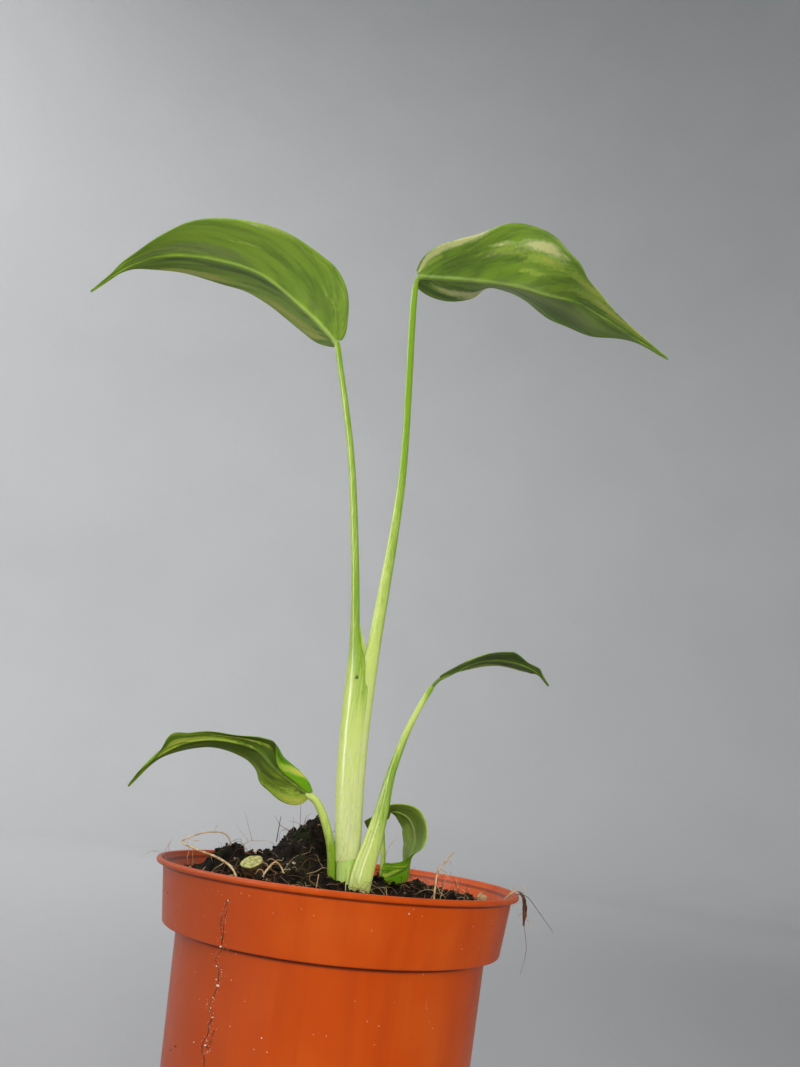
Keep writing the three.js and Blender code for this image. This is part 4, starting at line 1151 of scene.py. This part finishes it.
# Hairs that stand out from the rest: points, thickness and tone, from 0 pale to 1 dark.
LOOSE_HAIRS = [
    ([(-11.3, 9, 80), (-11.5, 9, 83), (-11.9, 9, 86.1)], 0.06, 1),
    ([(-16.7, 10, 76.5), (-16.5, 10, 82.7)], 0.12, 1),
    ([(-22.9, 12, 76), (-26.1, 12, 82.9)], 0.05, 0.5), ([(-24, 12, 76), (-27.6, 12, 79.3)], 0.05, 0.4),
    ([(-42.5, -2, 72.2), (-44, -5, 72.3), (-45.4, -8, 71.1)], 0.05, 0.3),
    ([(-41.5, 4, 72.1), (-42, 4, 73.5), (-41.3, 4, 75)], 0.05, 0.5),
    ([(-38, -8, 69), (-40, -8.5, 72.4), (-39.2, -8, 75)], 0.05, 0.5),
    ([(-36, 8, 69), (-37, 8, 74)], 0.05, 0.3),
    ([(41.5, -6, 72), (43.8, -7, 71.8), (45.8, -8, 69.7), (49.7, -9, 65.2)], 0.08, 0.9),
    ([(43.1, -7.2, 67), (43.6, -8, 64), (43.8, -9, 60.6), (42.6, -9.6, 56)], 0.06, 0.6),
    ([(10.3, -3, 76), (11, -3, 79), (13.3, -3, 81.6)], 0.05, 0.4),
    ([(22.7, -14, 69), (23.8, -14, 74.3)], 0.07, 0.2),
    ([(27, -12, 69), (27.4, -12, 75)], 0.05, 0.7), ([(31, -10, 69), (33.5, -10, 72.6)], 0.05, 0.5),
    ([(-16.8, -14, 73), (-13.5, -19, 71.8), (-10.2, -24, 70.5)], 0.14, 0.7),
    ([(-4.6, -18, 69), (-4.4, -19, 72.6)], 0.12, 0), ([(1.9, -18, 69), (1.2, -18.5, 75)], 0.1, 0.1),
    ([(-12.5, 9, 78), (-13.2, 8, 83)], 0.05, 0.5), ([(-10.5, 8, 78), (-9.4, 8, 83.4)], 0.05, 0.6),
    ([(-9.5, 8, 79), (-10.4, 8, 84)], 0.04, 0.4),
]


def hair(points, thickness, tone, sides=5):
    return swept(points, [thickness, thickness, thickness * 0.5], level=(0.3, 0.9, 0.3), sides=sides,
                 rings=2 * len(points), tone=(tone,), round_foot=False, round_head=False)


def wandering(start, heading, steps, step, bend, draw):
    """A line that wanders from a start, drawn down a little at each step."""
    points, heading = [Vector(start)], Vector(heading).normalized()
    for _ in range(steps):
        points.append(points[-1] + heading * step)
        turn = Vector((draw.gauss(0, bend), draw.gauss(0, bend), draw.gauss(0, bend) - 0.12))
        heading = (heading + turn).normalized()
    return [tuple(point) for point in points]


root_skin, root_shader, place = new_material("dry_root")
tone = marked(place).part("Z")
mottle = place.cloud(scale=0.7, detail=5, roughness=0.6)
light_root, dark_root = (mottle.step(0.35, 0.65).blend(*pair) for pair in (ROOT_PALE, ROOT_DARK))
darkness = (tone + (mottle - 0.5) * 0.8).step(0.3, 0.7)
root_colour = layered(light_root, (darkness, dark_root), (tone.step(-0.4, -0.8), LIMY_CRUMB))
feed(
    root_shader, Base_Color=root_colour, Roughness=0.7,
    Normal=bumped(place.cloud(scale=3, detail=4), depth=0.15, strength=0.7),
)
draw = random.Random(5)
for name, root in STRAY_ROOTS.items():
    parts = [swept(**root, level=(0.2, 0.6, 0.75), sides=18, shape=knobbly(depth=0.35, size=0.8))]
    for spot in spline(root["path"], np.linspace(0.25, 0.9, 7)):
        way = (draw.uniform(-1, 1), draw.uniform(-1, 1), draw.uniform(-0.6, 0.6))
        branch = wandering(spot, way, steps=5, step=0.7, bend=0.35, draw=draw)
        parts.append(hair(branch, thickness=0.07, tone=0.2))
    piece = new_piece(name.replace("root_", "stray_root_"), joined(parts), root_skin)
    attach(piece, "root")
    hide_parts(name)


def strewn_hairs(count, steps, step, thickness, sides, draw):
    """Hairs that come out of the soil: half of them steep, the others lying on it."""
    parts = []
    while len(parts) < count:
        x, y = anywhere(draw)
        steep = draw.uniform(0.1, 1.5) if draw.random() < 0.5 else draw.uniform(0, 0.35)
        turn = draw.uniform(0, 2 * math.pi)
        start, way = (x, y, soil_surface(x, y) - 0.3), (math.cos(turn), math.sin(turn), steep)
        line = wandering(start, way, steps, draw.uniform(*step), bend=0.28, draw=draw)
        line = [point for point in line if math.hypot(point[0], point[1]) < SOIL["reach"] - 0.6]
        if math.hypot(x, y) < SOIL["reach"] - 1.5 and len(line) > 3:
            parts.append(hair(line, draw.uniform(*thickness), draw.triangular(0.1, 1, 0.7), sides))
    return parts


draw = random.Random(23)
parts = strewn_hairs(FIBRES, steps=8, step=(0.35, 1.1), thickness=(0.025, 0.075), sides=4, draw=draw)
parts += strewn_hairs(FUZZ, steps=4, step=(0.25, 0.7), thickness=(0.025, 0.05), sides=3, draw=draw)
parts += [hair(line, thickness, tone) for line, thickness, tone in LOOSE_HAIRS]
clod = chunk(coarse[0], CLOD["centre"], CLOD["size"], draw)
parts.append((clod, coarse[1], [(0, 0, 0.3)] * len(clod)))
fibre_piece = new_piece("fine_dead_roots", joined(parts), root_skin)
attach(fibre_piece, "root")

draw = random.Random(3)
parts = []
for k, thread in enumerate(TRACE_THREADS):
    line = [pot_face_point(turn, z, 0.03) for turn, z in thread]
    thickness = 0.06 if k == 1 else 0.11  # the second thread is the finest
    wide = [thickness * share for share in (1, 0.5, 1.2, 0.4, 1, 0.5)]
    parts.append(swept(
        line, wide, level=(0.5, -0.8, 0), sides=8, rings=24 * len(line),
        shape=knobbly(depth=0.8, size=0.5), tone=(0.9, 0.6, 1, 0.7, 1),
    ))
    for turn, z in thread * TRACE_CRUMBS:
        place = turn + draw.gauss(0, TRACE_SPREAD[0]), z + draw.gauss(0, TRACE_SPREAD[1])
        crumb = (*place, draw.uniform(0.03, 0.1))
        (PALE_CRUMBS if draw.random() < 0.75 else DARK_CRUMBS).append(crumb)
for crumbs, tone in ((PALE_CRUMBS, -1), (DARK_CRUMBS, 1)):
    for turn, z, size in crumbs:
        points = chunk(fine[0], pot_face_point(turn, z, 0.02), size, draw)
        parts.append((points, fine[1], [(0, 0, tone)] * len(points)))
trace_piece = new_piece("root_stuck_to_the_pot", joined(parts), root_skin)
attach(trace_piece, "root")
